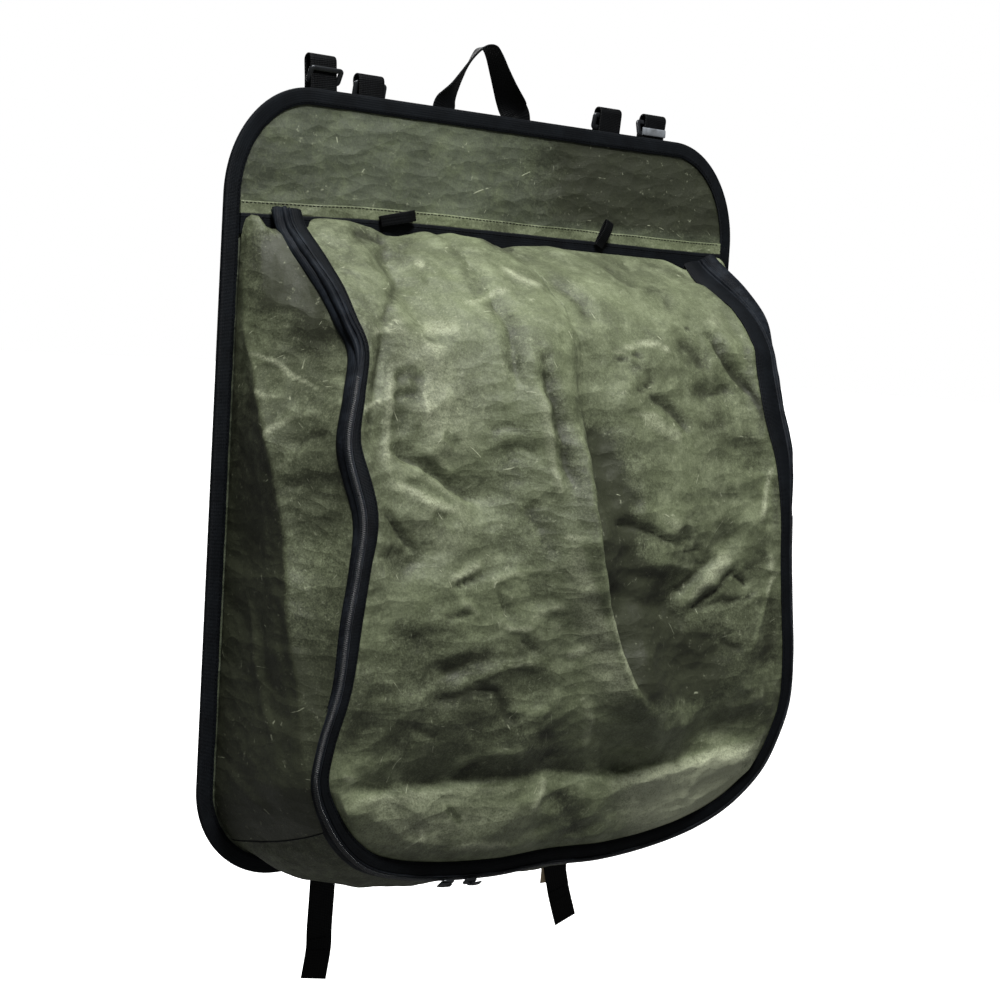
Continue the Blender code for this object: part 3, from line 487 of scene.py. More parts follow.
# Creases of the left gusset, as those of the front. The right one has them in its mirror.
SIDE_CREASES = (
    # height mm, right width mm, left width mm, tone, points
    (0, 2.2, 2.2, 0.52, ((252, 352), (267, 354), (286, 367), (302, 381), (317, 388), (333, 399))),
    (0, 2.2, 2.2, 0.26, ((246, 330), (251, 365), (256, 400), (262, 432), (273, 465), (280, 488),
                         (283, 525), (286, 558), (289, 587), (292, 640), (300, 696), (310, 733))),
    # Broad painted shade on the gusset's front part, from below the ear down beside the zip
    (0, 22, 22, -0.80, ((262, 246), (270, 280), (280, 320))),
    (-1, 24, 24, -0.95, ((276, 215), (288, 245), (305, 290), (320, 330), (330, 365))),
    (0, 26, 26, -0.30, ((305, 380), (320, 430), (325, 500))),
    (2, 6, 6, 0.3, ((257, 225), (263, 260), (268, 300))),
    (-3, 9, 9, -0.5, ((286, 240), (305, 275), (322, 320))),
    (1.5, 3, 3, 0.4, ((281, 447), (301, 424), (322, 414))),
    (-2, 3, 3, -0.45, ((300, 448), (320, 436), (335, 430))),
    (1.5, 3, 3, 0.35, ((290, 470), (308, 455), (330, 448))),
    (-2, 4, 4, -0.4, ((292, 490), (306, 480), (322, 476))),
    (1.5, 3, 3, 0.3, ((264, 395), (280, 404), (298, 402))),
    (2, 4, 4, 0.3, ((258, 600), (267, 660), (277, 712), (287, 752))),
    (-2, 6, 6, -0.4, ((270, 610), (278, 665), (288, 708))),
    (-2, 6, 6, -0.3, ((296, 600), (300, 650), (308, 690))),
    (1, 3, 3, 0.25, ((232, 770), (258, 795), (290, 812))),
)

# Handle: a strap that turns half round on its way over the hang point
HANDLE_ROWS = (
    # x, y, z, turn in degrees from sideways
    (-0.0400, 0.0037, -0.0780, 0),
    (-0.0400, 0.0037, -0.0660, 0),
    (-0.0400, 0.0037, -0.0535, 0),
    (-0.0370, 0.0034, -0.0465, 20),
    (-0.0330, 0.0028, -0.0390, 38),
    (-0.0260, 0.0015, -0.0260, 50),
    (-0.0175, 0.0005, -0.0120, 60),
    (-0.0085, 0.0000, -0.0015, 72),
    (0.0000, 0.0000, 0.0009, 82),
    (0.0055, 0.0000, -0.0040, 86),
    (0.0130, 0.0000, -0.0180, 96),
    (0.0210, 0.0010, -0.0310, 112),
    (0.0290, 0.0028, -0.0420, 140),
    (0.0340, 0.0036, -0.0485, 165),
    (0.0385, 0.0037, -0.0535, 180),
    (0.0400, 0.0037, -0.0660, 180),
    (0.0400, 0.0037, -0.0780, 180),
)
WEBBING = 0.0018
WEBBING_WIDTH = 0.025
HANDLE_STEPS = 150

# Strap loops and their slider frames above the top edge
TOP_STRAPS = (
    # name, side, rise, lean of the loop's top, frame rise, frame tilt, frame behind the strap
    ("one", -0.184, 0.0300, -0.002, 0.013, -29, 0.0),
    ("two", -0.138, 0.0200, -0.001, 0.007, -12, 0.0042),
    ("three", 0.117, 0.0240, 0.002, 0.011, -12, 0.0042),
    ("four", 0.170, 0.0240, 0.003, 0.011, 12, 0.0042),
)
STRAP_BEHIND = 0.0037
WEB_ROUNDING = 0.9
STRAP_FOOT_DROP = 0.020
STRAP_TAIL_DROP = 0.006
TOP_STRAP_STEPS = 90
LOOP_RADIUS = 0.0042
BUCKLE_LONG = 0.032
BUCKLE_HIGH = 0.015
BUCKLE_BAR = 0.0042
BUCKLE_THICKNESS = 0.0026
BUCKLE_CORNER = 0.0016
# Bare metal bar across the last strap
PLATE_LONG = 0.0275
PLATE_HIGH = 0.0070
PLATE_THICKNESS = 0.0012
PLATE_DOME = 0.0003
PLATE_RISE = 0.0075

# Keeper loops on the tape
KEEPERS = (
    # name, side, drop, degrees from sideways, size, lift of the loop
    ("left", -0.130, 0.0985, 13, 1.0, 0.0030),
    ("right", 0.105, 0.1010, 66, 0.74, 0.0016),
)
KEEPER_ROWS = (
    # along, out, share of the lift
    (0.0, 0.0, 0.0), (0.010, 0.0001, 0.0), (0.022, 0.0006, 0.0), (0.031, 0.0010, 0.0),
    (0.0335, 0.0018, 0.0), (0.0338, 0.0030, 0.0), (0.032, 0.0038, 0.0), (0.024, 0.0036, 1.0),
    (0.014, 0.0034, 0.6), (0.006, 0.0026, 0.0), (0.0, 0.0020, 0.0),
)
KEEPER_DEPTH = 0.0052
KEEPER_THICKNESS = 0.0010
KEEPER_STEPS = 70
KEEPER_WIDTH = 0.009

# Straps behind the bottom edge
BOTTOM_STRAPS = (
    # name, rows of side, y and drop
    ("left", ((-0.1465, 0.0037, 0.612), (-0.1465, 0.0037, 0.650), (-0.1470, 0.0044, 0.690),
              (-0.1475, 0.0034, 0.708), (-0.1520, 0.0020, 0.733))),
    ("right", ((0.0985, 0.0037, 0.612), (0.1030, 0.0037, 0.650), (0.1120, 0.0042, 0.686),
               (0.1160, 0.0038, 0.700), (0.1230, 0.0028, 0.721))),
)
BOTTOM_STRAP_STEPS = 60
BOTTOM_SEAM_SHARES = (0.72, 0.80)
BOTTOM_SEAM_HALF = 0.011

# Label tab and zip sliders
LABEL_SIDE = 0.108
LABEL_TOP_DROP = 0.620
LABEL_BOTTOM_DROP = 0.684
LABEL_WIDTH = 0.030
LABEL_THICKNESS = 0.0008
SLIDERS = (
    # name, side, direction of its pull
    ("left", -0.104, 1),
    ("right", -0.080, -1),
)
SLIDER_LIFT = 0.0026
SLIDER_ROWS = (
    # along, half width, bottom, top
    (-0.0055, 0.0024, 0.0000, 0.0016),
    (-0.0045, 0.0036, -0.0003, 0.0022),
    (-0.0015, 0.0040, -0.0004, 0.0024),
    (0.0015, 0.0036, -0.0004, 0.0024),
    (0.0040, 0.0042, -0.0003, 0.0023),
    (0.0055, 0.0030, 0.0000, 0.0017),
)
SLIDER_BANDS = (
    # name, width, thickness, steps, rows of along and out
    ("bridge", 0.0022, 0.0008, 16, ((0.0035, 0.0020), (0.0030, 0.0036), (0.0010, 0.0043),
                                    (-0.0020, 0.0040), (-0.0032, 0.0020))),
    ("pull", 0.0052, 0.0013, 14, ((0.0004, 0.0032), (-0.0030, 0.0036), (-0.0065, 0.0034),
                                  (-0.0095, 0.0030))),
)

# Stitches and zip teeth
STITCH = 0.0026
STITCH_GAP = 0.0010
STITCH_RADIUS = 0.00032
TOOTH_PITCH = 0.00155
TOOTH_RADIUS = 0.00052
# A stitch or tooth as a rod with rounded ends
ROD_ROWS = (
    # part of its length, part of its radius
    (0.0, 0.45),
    (0.18, 0.92),
    (0.5, 1.0),
    (0.82, 0.92),
    (1.0, 0.45),
)

# Threads of the canvas, and its fine scratches
CANVAS_THREAD = 0.0009
SCRATCHES = (
    # size of the noise, seed, thinness
    (4.0, 3.1, 0.011),
    (6.0, 8.7, 0.014),
    (2.6, 5.3, 0.008),
)

# Colours, linear
# The deep colour is laid where the cloth's tone is below zero: mostly painted shade of folds, ridges and
# the bottom, and the darker sides of the flap
CANVAS_DEEP = (0.0112, 0.0128, 0.0055)
CANVAS_DARK = (0.036, 0.042, 0.021)
CANVAS_MID = (0.102, 0.120, 0.064)
CANVAS_PALE = (0.215, 0.242, 0.150)
# The worn colour is pale worn wax in scuffs and on ridges, and painted light where the tone is above
# zero
CANVAS_WORN_AND_LIT = (0.400, 0.425, 0.295)
FLAP_DARK = (0.026, 0.031, 0.019)
FLAP_MID = (0.058, 0.068, 0.044)
BLACK_TAPE = (0.0020, 0.0026, 0.0034)
BLACK_TAPE_WORN = (0.0085, 0.0110, 0.0140)
ZIP_BLACK = (0.0028, 0.0036, 0.0050)
ZIP_WORN = (0.0200, 0.0250, 0.0320)
BLACK_WEBBING = (0.0012, 0.0014, 0.0016)
BLACK_WEBBING_WORN = (0.0055, 0.0062, 0.0070)
BLACK_THREAD = (0.0020, 0.0022, 0.0024)
BLACK_COIL = (0.0100, 0.0115, 0.0130)
METAL = (0.36, 0.39, 0.42)
BLACK_METAL = (0.012, 0.013, 0.015)
WORN_METAL = (0.030, 0.033, 0.036)
WORN_STEEL = (0.20, 0.21, 0.22)
LABEL_BEIGE = (0.42, 0.33, 0.22)
LABEL_PALE = (0.52, 0.43, 0.31)

REARWARD = np.array([0.0, 1.0, 0.0])
FRONTWARD = np.array([0.0, -1.0, 0.0])
UPWARD = np.array([0.0, 0.0, 1.0])
SIDEWARD = np.array([1.0, 0.0, 0.0])

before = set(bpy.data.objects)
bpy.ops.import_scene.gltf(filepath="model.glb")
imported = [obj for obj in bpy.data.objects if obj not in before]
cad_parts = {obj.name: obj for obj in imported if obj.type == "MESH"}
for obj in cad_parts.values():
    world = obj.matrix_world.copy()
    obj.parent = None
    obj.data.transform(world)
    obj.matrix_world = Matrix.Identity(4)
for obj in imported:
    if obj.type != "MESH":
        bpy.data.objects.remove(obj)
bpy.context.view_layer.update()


def camera_directions():
    """Right, up and ahead of the camera, with its roll."""
    azimuth, pitch, roll = (math.radians(a) for a in (CAMERA_AZIMUTH, CAMERA_PITCH, CAMERA_ROLL))
    ahead = np.array([math.sin(azimuth) * math.cos(pitch), math.cos(azimuth) * math.cos(pitch),
                      math.sin(pitch)])
    level = np.array([math.cos(azimuth), -math.sin(azimuth), 0.0])
    upright = np.cross(level, ahead)
    right = math.cos(roll) * level + math.sin(roll) * upright
    up = math.cos(roll) * upright - math.sin(roll) * level
    return right, up, ahead


def place(side, depth, drop):
    """Points in the frame from sideways places, depths to the front and drops."""
    parts = np.broadcast_arrays(PANEL_MIDDLE_X + np.asarray(side, float),
                                -np.asarray(depth, float), -HANDLE_RISE - np.asarray(drop, float))
    return np.stack(parts, axis=-1)


def unit(vectors):
    return vectors / np.maximum(np.linalg.norm(vectors, axis=-1, keepdims=True), 1e-9)


def clamp(values):
    return np.clip(values, 0.0, 1.0)


def same(vector, line):
    """One direction for every point of a line."""
    return np.broadcast_to(vector, line.shape)


def lengths_along(line):
    """Length of a line up to each of its points."""
    runs = np.linalg.norm(np.diff(line, axis=0), axis=1)
    return np.concatenate([[0.0], np.cumsum(runs)])


def look_up(targets, places, table):
    """Rows of a table at any places between its own."""
    return np.stack([np.interp(targets, places, column) for column in table.T], axis=1)


def smooth_columns(table, reach):
    """Each column as its running mean, over so many rows to both sides."""
    table = np.pad(table, ((reach, reach), (0, 0)), mode="edge")
    share = np.ones(2 * reach + 1) / (2 * reach + 1)
    return np.stack([np.convolve(column, share, mode="valid") for column in table.T], axis=1)


def side_and_drop(points):
    """Places sideways and drops of points in the frame."""
    return points[..., 0] - PANEL_MIDDLE_X, -HANDLE_RISE - points[..., 2]


def beside(line, directions):
    """Directions at right angles to a line and to given directions."""
    return unit(np.cross(unit(np.gradient(line, axis=0)), directions))


def resample(line, steps):
    """The same line with evenly spaced points."""
    lengths = lengths_along(line)
    return look_up(np.linspace(0.0, lengths[-1], steps + 1), lengths, line)


def smooth_line(points, steps):
    """Evenly spaced points on a Catmull-Rom curve through the given ones."""
    points = np.asarray(points, float)
    ends = np.vstack([2 * points[0] - points[1], points, 2 * points[-1] - points[-2]])
    t = np.arange(CURVE_STEPS)[:, None] / CURVE_STEPS
    spans = []
    for i in range(1, len(ends) - 2):
        p0, p1, p2, p3 = ends[i - 1:i + 3]
        spans.append(0.5 * (2 * p1 + (p2 - p0) * t + (2 * p0 - 5 * p1 + 4 * p2 - p3) * t ** 2
                            + (3 * p1 - p0 - 3 * p2 + p3) * t ** 3))
    return resample(np.vstack(spans + [points[-1:]]), steps)


def line_distance(points, line):
    """Distance to a broken line, the part of it passed, and the side it is on.

    The side is above zero to the left of the line's direction, as it is seen in the picture.
    """
    line = np.asarray(line, float)
    runs = np.linalg.norm(np.diff(line, axis=0), axis=1)
    starts = lengths_along(line)
    best = np.full(points.shape[:-1], np.inf)
    where = np.zeros(points.shape[:-1])
    side = np.zeros(points.shape[:-1])
    for a, b, run, start in zip(line, line[1:], runs, starts):
        step = (b - a) / run ** 2
        part = clamp(((points - a) * step).sum(axis=-1))
        away = np.linalg.norm(points - a - part[..., None] * (b - a), axis=-1)
        nearer = away < best
        best = np.where(nearer, away, best)
        where = np.where(nearer, (start + part * run) / starts[-1], where)
        cross = (b[0] - a[0]) * (points[..., 1] - a[1]) - (b[1] - a[1]) * (points[..., 0] - a[0])
        side = np.where(nearer, -cross, side)
    return best, where, side


def noise_field(points, scale, seed, detail=3):
    """Smooth noise from about -1 to 1 at each point, in cells of the given size."""
    flat = points.reshape(-1, points.shape[-1]) / scale + seed * 17.3
    values = [noise.fractal(Vector(p), 0.8, 2.1, detail, noise_basis="PERLIN_ORIGINAL") for p in flat]
    return np.array(values).reshape(points.shape[:-1])


def ridge_field(points, scale, seed):
    """Smooth planes that meet in sharp ridges, from 0 to 1, longer across than down."""
    stretched = points * np.array([0.75, 0.75, 1.15])
    return 1 - 2 * np.abs(noise_field(stretched, scale, seed, 1))


# Meshes


def new_mesh(name, points, faces, material, uv=None):
    """Mesh object in the scene, with its cloth map where one is given."""
    mesh = bpy.data.meshes.new(name)
    mesh.from_pydata(np.asarray(points, float).reshape(-1, 3).tolist(), [], faces)
    mesh.update()
    if uv is not None:
        layer = mesh.uv_layers.new(name="cloth")
        corners = np.zeros(len(mesh.loops), int)
        mesh.loops.foreach_get("vertex_index", corners)
        flat = np.asarray(uv, float).reshape(-1, 2)[corners]
        layer.data.foreach_set("uv", flat.ravel())
    mesh.materials.append(material)
    mesh.shade_smooth()
    item = bpy.data.objects.new(name, mesh)
    bpy.context.scene.collection.objects.link(item)
    return item


def dress(item, slot, *nodes):
    """Hides the model's parts that a finished piece takes the place of, and lets it ride on the bag."""
    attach(item, "root")
    if nodes:
        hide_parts(*nodes)


def grid_faces(rows, columns, wrap_rows=False, wrap_columns=False):
    """Quads of a grid of points, as one list."""
    row_ends = rows if wrap_rows else rows - 1
    column_ends = columns if wrap_columns else columns - 1
    i, j = np.meshgrid(np.arange(row_ends), np.arange(column_ends), indexing="ij")
    next_i, next_j = (i + 1) % rows, (j + 1) % columns
    quads = np.stack([i * columns + j, i * columns + next_j,
                      next_i * columns + next_j, next_i * columns + j], axis=-1)
    return quads.reshape(-1, 4).tolist()


def grid_map(grid):
    """Cloth map of a grid of points, in metres along its rows and columns."""
    across = np.linalg.norm(np.diff(grid, axis=1), axis=-1)
    down = np.linalg.norm(np.diff(grid, axis=0), axis=-1)
    u = np.concatenate([np.zeros((grid.shape[0], 1)), np.cumsum(across, axis=1)], axis=1)
    v = np.concatenate([np.zeros((1, grid.shape[1])), np.cumsum(down, axis=0)], axis=0)
    return np.stack([u - u[:, -1:] / 2, v], axis=-1)


def cloth(name, grid, material, tone=None, thickness=CLOTH):
    """Sheet of cloth through a grid of points, with its tone, which carries painted light and shade,
    kept for the material.
    """
    item = new_mesh(name, grid, grid_faces(*grid.shape[:2]), material, grid_map(grid))
    if tone is not None:
        layer = item.data.attributes.new("tone", "FLOAT", "POINT")
        layer.data.foreach_set("value", tone.ravel().astype(float))
    wall = item.modifiers.new("wall", "SOLIDIFY")
    wall.thickness = thickness
    wall.offset = 0.0
    return item


def ribbon(name, centres, across, out, section, material, cyclic=False):
    """Body swept along a line, with a closed section of places across and out."""
    section = np.asarray(section, float)
    if section.ndim == 2:
        section = np.broadcast_to(section, (len(centres),) + section.shape)
    grid = (centres[:, None] + across[:, None] * section[..., :1] + out[:, None] * section[..., 1:])
    rows, columns = grid.shape[:2]
    faces = grid_faces(rows, columns, wrap_rows=cyclic, wrap_columns=True)
    if not cyclic:
        faces.append(list(range(columns))[::-1])
        faces.append(list(range((rows - 1) * columns, rows * columns)))
    along = lengths_along(centres)[:, None]
    uv = np.stack(np.broadcast_arrays(along, section[..., 0]), axis=-1)
    item = new_mesh(name, grid, faces, material, uv)
    item.data.set_sharp_from_angle(angle=math.radians(50))
    return item


def band_section(width, thickness, rounding=0.8, dome=0.0, middle=6):
    """Section of a flat woven band with rounded sides, centred on the line."""
    half_width, half = width / 2, thickness / 2
    reach = half * rounding
    places = np.linspace(-half_width + reach, half_width - reach, middle)
    domes = [dome * (1 - (x / half_width) ** 2) for x in places]
    top = [(x, half + rise) for x, rise in zip(places, domes)]
    bottom = [(-x, -half + rise) for x, rise in zip(places, domes)]
    right = [(half_width - reach + reach * math.sin(a), half * math.cos(a))
             for a in map(math.radians, range(30, 180, 30))]
    left = [(-x, -y) for x, y in right]
    return top + right + bottom + left


def rounded_section(half_wide, half_high, power, sides, rise=0.0):
    """Closed section between an ellipse, at a power of 1, and a rectangle, at 0."""
    def bent(value):
        return math.copysign(abs(value) ** power, value)

    angles = np.arange(sides) * 2 * math.pi / sides
    return [(half_wide * bent(math.cos(a)), rise + half_high * bent(math.sin(a)))
            for a in angles]


def capsules(name, ends_from, ends_to, out, radius, material, sides=6):
    """Many short rounded rods in one mesh, each from one point to another."""
    along = unit(ends_to - ends_from)
    side = unit(np.cross(along, out))
    up = np.cross(side, along)
    length = np.linalg.norm(ends_to - ends_from, axis=1)
    angles = np.arange(sides) * 2 * math.pi / sides
    rings = []
    for part, size in ROD_ROWS:
        centre = ends_from + along * (length * part)[:, None]
        rings.append(centre[:, None]
                     + side[:, None] * (np.cos(angles) * radius * size)[None, :, None]
                     + up[:, None] * (np.sin(angles) * radius * size)[None, :, None])
    one = np.array(grid_faces(len(ROD_ROWS), sides, wrap_columns=True))
    shifts = np.arange(len(along)) * len(ROD_ROWS) * sides
    faces = (one[None] + shifts[:, None, None]).reshape(-1, 4).tolist()
    first = np.arange(sides)[::-1]
    last = np.arange(sides) + (len(ROD_ROWS) - 1) * sides
    for shift in shifts.tolist():
        faces.append((first + shift).tolist())
        faces.append((last + shift).tolist())
    return new_mesh(name, np.stack(rings, axis=1), faces, material)


def stitches(name, line, out, slot, lift=0.0001, cyclic=False):
    """Row of stitches that lie on a line."""
    lengths = lengths_along(line)
    count = int(lengths[-1] / (STITCH + STITCH_GAP))
    step = lengths[-1] / count
    starts = np.arange(count - (0 if cyclic else 1)) * step + STITCH_GAP / 2
    normal = unit(look_up(starts + STITCH / 2, lengths, out))
    begin = look_up(starts, lengths, line) + normal * lift
    end = look_up(starts + STITCH, lengths, line) + normal * lift
    dress(capsules(name, begin, end, normal, STITCH_RADIUS, THREAD), slot)


# Materials


def add_node(tree, kind, settings=None, inputs=None):
    """Node with its plain settings, and its inputs set or linked."""
    item = tree.nodes.new(kind)
    for key, value in (settings or {}).items():
        setattr(item, key, value)
    for key, value in (inputs or {}).items():
        if isinstance(value, bpy.types.NodeSocket):
            tree.links.new(value, item.inputs[key])
        else:
            item.inputs[key].default_value = value
    return item


def mix_colour(factor, first, second):
    """Two colours mixed by a field. The node tree is that of the field."""
    item = factor.id_data.nodes.new("ShaderNodeMix")
    item.data_type = "RGBA"
    for socket, value in ((item.inputs[0], factor), (item.inputs[6], first), (item.inputs[7], second)):
        if isinstance(value, bpy.types.NodeSocket):
            factor.id_data.links.new(value, socket)
        else:
            socket.default_value = (*value, 1.0)
    return item.outputs[2]


def remap(value, low, high, to_low=0.0, to_high=1.0):
    item = add_node(value.id_data, "ShaderNodeMapRange", {"clamp": True},
                    {"Value": value, "From Min": low, "From Max": high,
                     "To Min": to_low, "To Max": to_high})
    return item.outputs["Result"]


def calculate(operation, first, second=0.0):
    return add_node(first.id_data, "ShaderNodeMath", {"operation": operation},
                    {0: first, 1: second}).outputs[0]


def ridges_of(value):
    """How far a field is from its middle, with sharp valleys where it crosses it."""
    return calculate("ABSOLUTE", calculate("SUBTRACT", value, 0.5))


def weighted_sum(*parts):
    """Sum of fields, each times its own number."""
    total = None
    for field, weight in parts:
        share = calculate("MULTIPLY", field, weight)
        total = share if total is None else calculate("ADD", total, share)
    return total


def layered(colour, *layers):
    """Colours laid over one by fields: field, from, to, most of the colour, colour."""
    for field, low, high, most, other in layers:
        colour = mix_colour(remap(field, low, high, 0.0, most), colour, other)
    return colour


def noise_node(coords, scale, detail=4.0, roughness=0.6, distortion=0.0, output="Fac"):
    item = add_node(coords.id_data, "ShaderNodeTexNoise", {},
                    {"Vector": coords, "Scale": scale, "Detail": detail,
                     "Roughness": roughness, "Distortion": distortion})
    return item.outputs[output]


def stretched(coords, scale):
    """Coordinates with a scale of their own on each axis."""
    return add_node(coords.id_data, "ShaderNodeMapping", {},
                    {"Vector": coords, "Scale": scale}).outputs["Vector"]


def moved(coords, step):
    return add_node(coords.id_data, "ShaderNodeVectorMath", {"operation": "ADD"},
                    {0: coords, 1: step}).outputs["Vector"]


def wave_node(coords, direction, period):
    """Ribs across one direction of the cloth map, with a period in metres."""
    item = add_node(coords.id_data, "ShaderNodeTexWave",
                    {"wave_type": "BANDS", "bands_direction": direction},
                    {"Vector": coords, "Scale": 2 * math.pi / (20 * period), "Detail": 1.0})
    return item.outputs["Fac"]


def object_places(tree):
    return add_node(tree, "ShaderNodeTexCoord").outputs["Object"]


def cloth_places(tree):
    return add_node(tree, "ShaderNodeUVMap", {"uv_map": "cloth"}).outputs["UV"]


def new_material(name, roughness, gleam, metallic=0.0):
    material = bpy.data.materials.new(name)
    material.use_nodes = True
    tree = material.node_tree
    shader = tree.nodes["Principled BSDF"]
    shader.inputs["Roughness"].default_value = roughness
    shader.inputs["Specular IOR Level"].default_value = gleam
    shader.inputs["Metallic"].default_value = metallic
    return material, tree, shader


def finish_material(shader, colour, height, distance, strength):
    tree = shader.id_data
    bump = add_node(tree, "ShaderNodeBump", {},
                    {"Strength": strength, "Distance": distance, "Height": height})
    tree.links.new(colour, shader.inputs["Base Color"])
    tree.links.new(bump.outputs["Normal"], shader.inputs["Normal"])


def facet_field(coords, scale):
    """Crisp creases: distances inside cells that a noise has bent and that lie longer sideways."""
    bend = noise_node(coords, scale * 0.6, 3.0, 0.5, output="Color")
    bend = add_node(coords.id_data, "ShaderNodeVectorMath", {"operation": "SCALE"},
                    {0: bend, "Scale": 0.9 / scale}).outputs["Vector"]
    cells = add_node(coords.id_data, "ShaderNodeTexVoronoi", {},
                     {"Vector": stretched(moved(coords, bend), (0.55, 0.55, 1.4)), "Scale": scale})
    return cells.outputs["Distance"]


def scratch_field(coords):
    """Short fine scratches: thin contour lines of three large noises, broken up."""
    lines = None
    for scale, seed, thin in SCRATCHES:
        shifted = moved(coords, (seed, seed, seed))
        contours = calculate("MULTIPLY", noise_node(shifted, scale, 1.0, 0.5), 12.0)
        line = remap(ridges_of(calculate("FRACT", contours)), 0.0, thin, 1.0, 0.0)
        broken = remap(noise_node(shifted, 78.0, 2.0, 0.6), 0.61, 0.67)
        line = calculate("MULTIPLY", line, broken)
        lines = line if lines is None else calculate("MAXIMUM", lines, line)
    return lines


def make_canvas(name, dark, mid, pale, scuffs):
    """Waxed canvas: clouded wax, weave, pale scuffs, the fine relief of old creases, and painted light
    and shade from the tone attribute.
    """
    material, tree, shader = new_material(name, 0.62, 0.32)
    at = object_places(tree)
    cloud = noise_node(at, 7.0, 5.0, 0.58, 0.6)
    mottle = noise_node(at, 38.0, 8.0, 0.68, 0.4)
    patch = noise_node(at, 120.0, 6.0, 0.78)
    grain = noise_node(at, 620.0, 3.0, 0.8)
    streaks = remap(noise_node(at, 150.0, 5.0, 0.72), 0.62, 0.80)
    lines = scratch_field(at)

    colour = mix_colour(remap(cloud, 0.36, 0.66), dark, mid)
    colour = layered(colour, (mottle, 0.47, 0.78, 0.60, pale), (mottle, 0.44, 0.28, 0.55, dark),
                     (patch, 0.54, 0.72, 0.35, pale), (patch, 0.48, 0.32, 0.50, dark))
    tone = add_node(tree, "ShaderNodeAttribute", {"attribute_name": "tone"}).outputs["Fac"]
    size = calculate("MINIMUM", calculate("ABSOLUTE", tone), 0.5)
    broken = calculate("SUBTRACT", calculate("ADD", patch, grain), 1.0)
    tone = weighted_sum((tone, 1.0), (calculate("MULTIPLY", broken, size), 2.4))
    # Tone above zero lays on pale worn wax and painted light; tone below zero lays on painted shade
    colour = layered(colour, (tone, 0.0, 1.0, 0.75, CANVAS_WORN_AND_LIT), (grain, 0.50, 0.30, 0.50, dark),
                     (grain, 0.50, 0.72, 0.30, pale), (tone, 0.0, -1.0, 0.88, CANVAS_DEEP))
    scuff = calculate("MULTIPLY", calculate("MAXIMUM", lines, streaks), scuffs)
    colour = mix_colour(scuff, colour, CANVAS_WORN_AND_LIT)

    threads = cloth_places(tree)
    weave = calculate("MULTIPLY", wave_node(threads, "X", CANVAS_THREAD),
                      wave_node(threads, "Y", CANVAS_THREAD))
    wrinkles = ridges_of(noise_node(stretched(at, (0.32, 0.32, 1.0)), 62.0, 2.5, 0.5))
    height = weighted_sum(
        (wrinkles, -1.1), (noise_node(at, 46.0, 5.0, 0.58), 0.45),
        (weighted_sum((facet_field(at, 24.0), 1.0), (facet_field(at, 62.0), 0.40)), 4.2),
        (grain, 0.30), (ridges_of(noise_node(at, 30.0, 4.0, 0.55)), -0.7), (patch, 0.40),
        (weave, 0.12), (lines, 0.15))
    tree.links.new(remap(mottle, 0.3, 0.75, 0.66, 0.50), shader.inputs["Roughness"])
    finish_material(shader, colour, height, 0.0016, 0.6)
    return material


def make_tape(name, base, worn, rib, roughness, wear=0.35):
    """Ribbed woven tape or webbing, with dusty wear."""
    material, tree, shader = new_material(name, roughness, 0.07)
    at, threads = object_places(tree), cloth_places(tree)
    fuzz = noise_node(at, 700.0, 3.0, 0.7)
    dust = noise_node(at, 45.0, 6.0, 0.7)
    colour = mix_colour(remap(dust, 0.42, 0.75, 0.0, wear), base, worn)
    colour = layered(colour, (fuzz, 0.55, 0.85, 0.5, worn))
    height = weighted_sum((wave_node(threads, "X", rib), 1.0), (fuzz, 0.8),
                          (wave_node(threads, "Y", rib * 1.7), 0.5))
    finish_material(shader, colour, height, 0.0003, 0.6)
    return material


def make_plain(name, base, other, roughness, metallic, scale, gleam=0.5):
    """Moulded plastic, thread or metal, with small changes of colour and gloss."""
    material, tree, shader = new_material(name, roughness, gleam, metallic)
    spots = noise_node(object_places(tree), scale, 5.0, 0.65)
    gloss = remap(spots, 0.3, 0.8, roughness + 0.10, roughness - 0.08)
    tree.links.new(gloss, shader.inputs["Roughness"])
    finish_material(shader, mix_colour(remap(spots, 0.35, 0.75), base, other), spots, 0.0002, 0.2)
    return material


CANVAS = make_canvas("canvas_front", CANVAS_DARK, CANVAS_MID, CANVAS_PALE, 0.50)
FLAP = make_canvas("canvas_flap", FLAP_DARK, FLAP_MID, CANVAS_MID, 0.55)
TAPE = make_tape("binding_tape", BLACK_TAPE, BLACK_TAPE_WORN, 0.0011, 0.60)
ZIP_TAPE = make_tape("zip_tape_weave", ZIP_BLACK, ZIP_WORN, 0.0009, 0.50, wear=0.6)
WEB = make_tape("webbing_weave", BLACK_WEBBING, BLACK_WEBBING_WORN, 0.0014, 0.55)
THREAD = make_plain("thread", BLACK_THREAD, BLACK_TAPE, 0.80, 0.0, 400.0, gleam=0.05)
COIL = make_plain("coil_plastic", BLACK_COIL, BLACK_TAPE_WORN, 0.30, 0.0, 160.0, gleam=0.60)
STEEL = make_plain("painted_metal", BLACK_METAL, WORN_METAL, 0.34, 0.6, 120.0)
PLATE = make_plain("bare_metal", METAL, WORN_STEEL, 0.42, 0.8, 120.0)
LABEL = make_tape("label_weave", LABEL_BEIGE, LABEL_PALE, 0.0006, 0.80)


# Back panel


def panel_half(drop):
    """Half width of the panel's rounded outline at each drop."""
    top = clamp(1 - drop / TOP_CORNER_HIGH)
    low = clamp((drop - PANEL_HEIGHT + BOTTOM_CORNER) / BOTTOM_CORNER)
    return (PANEL_WIDTH / 2 - TOP_CORNER_WIDE * (1 - np.sqrt(1 - top ** 2))
            - BOTTOM_CORNER * (1 - np.sqrt(1 - low ** 2)))


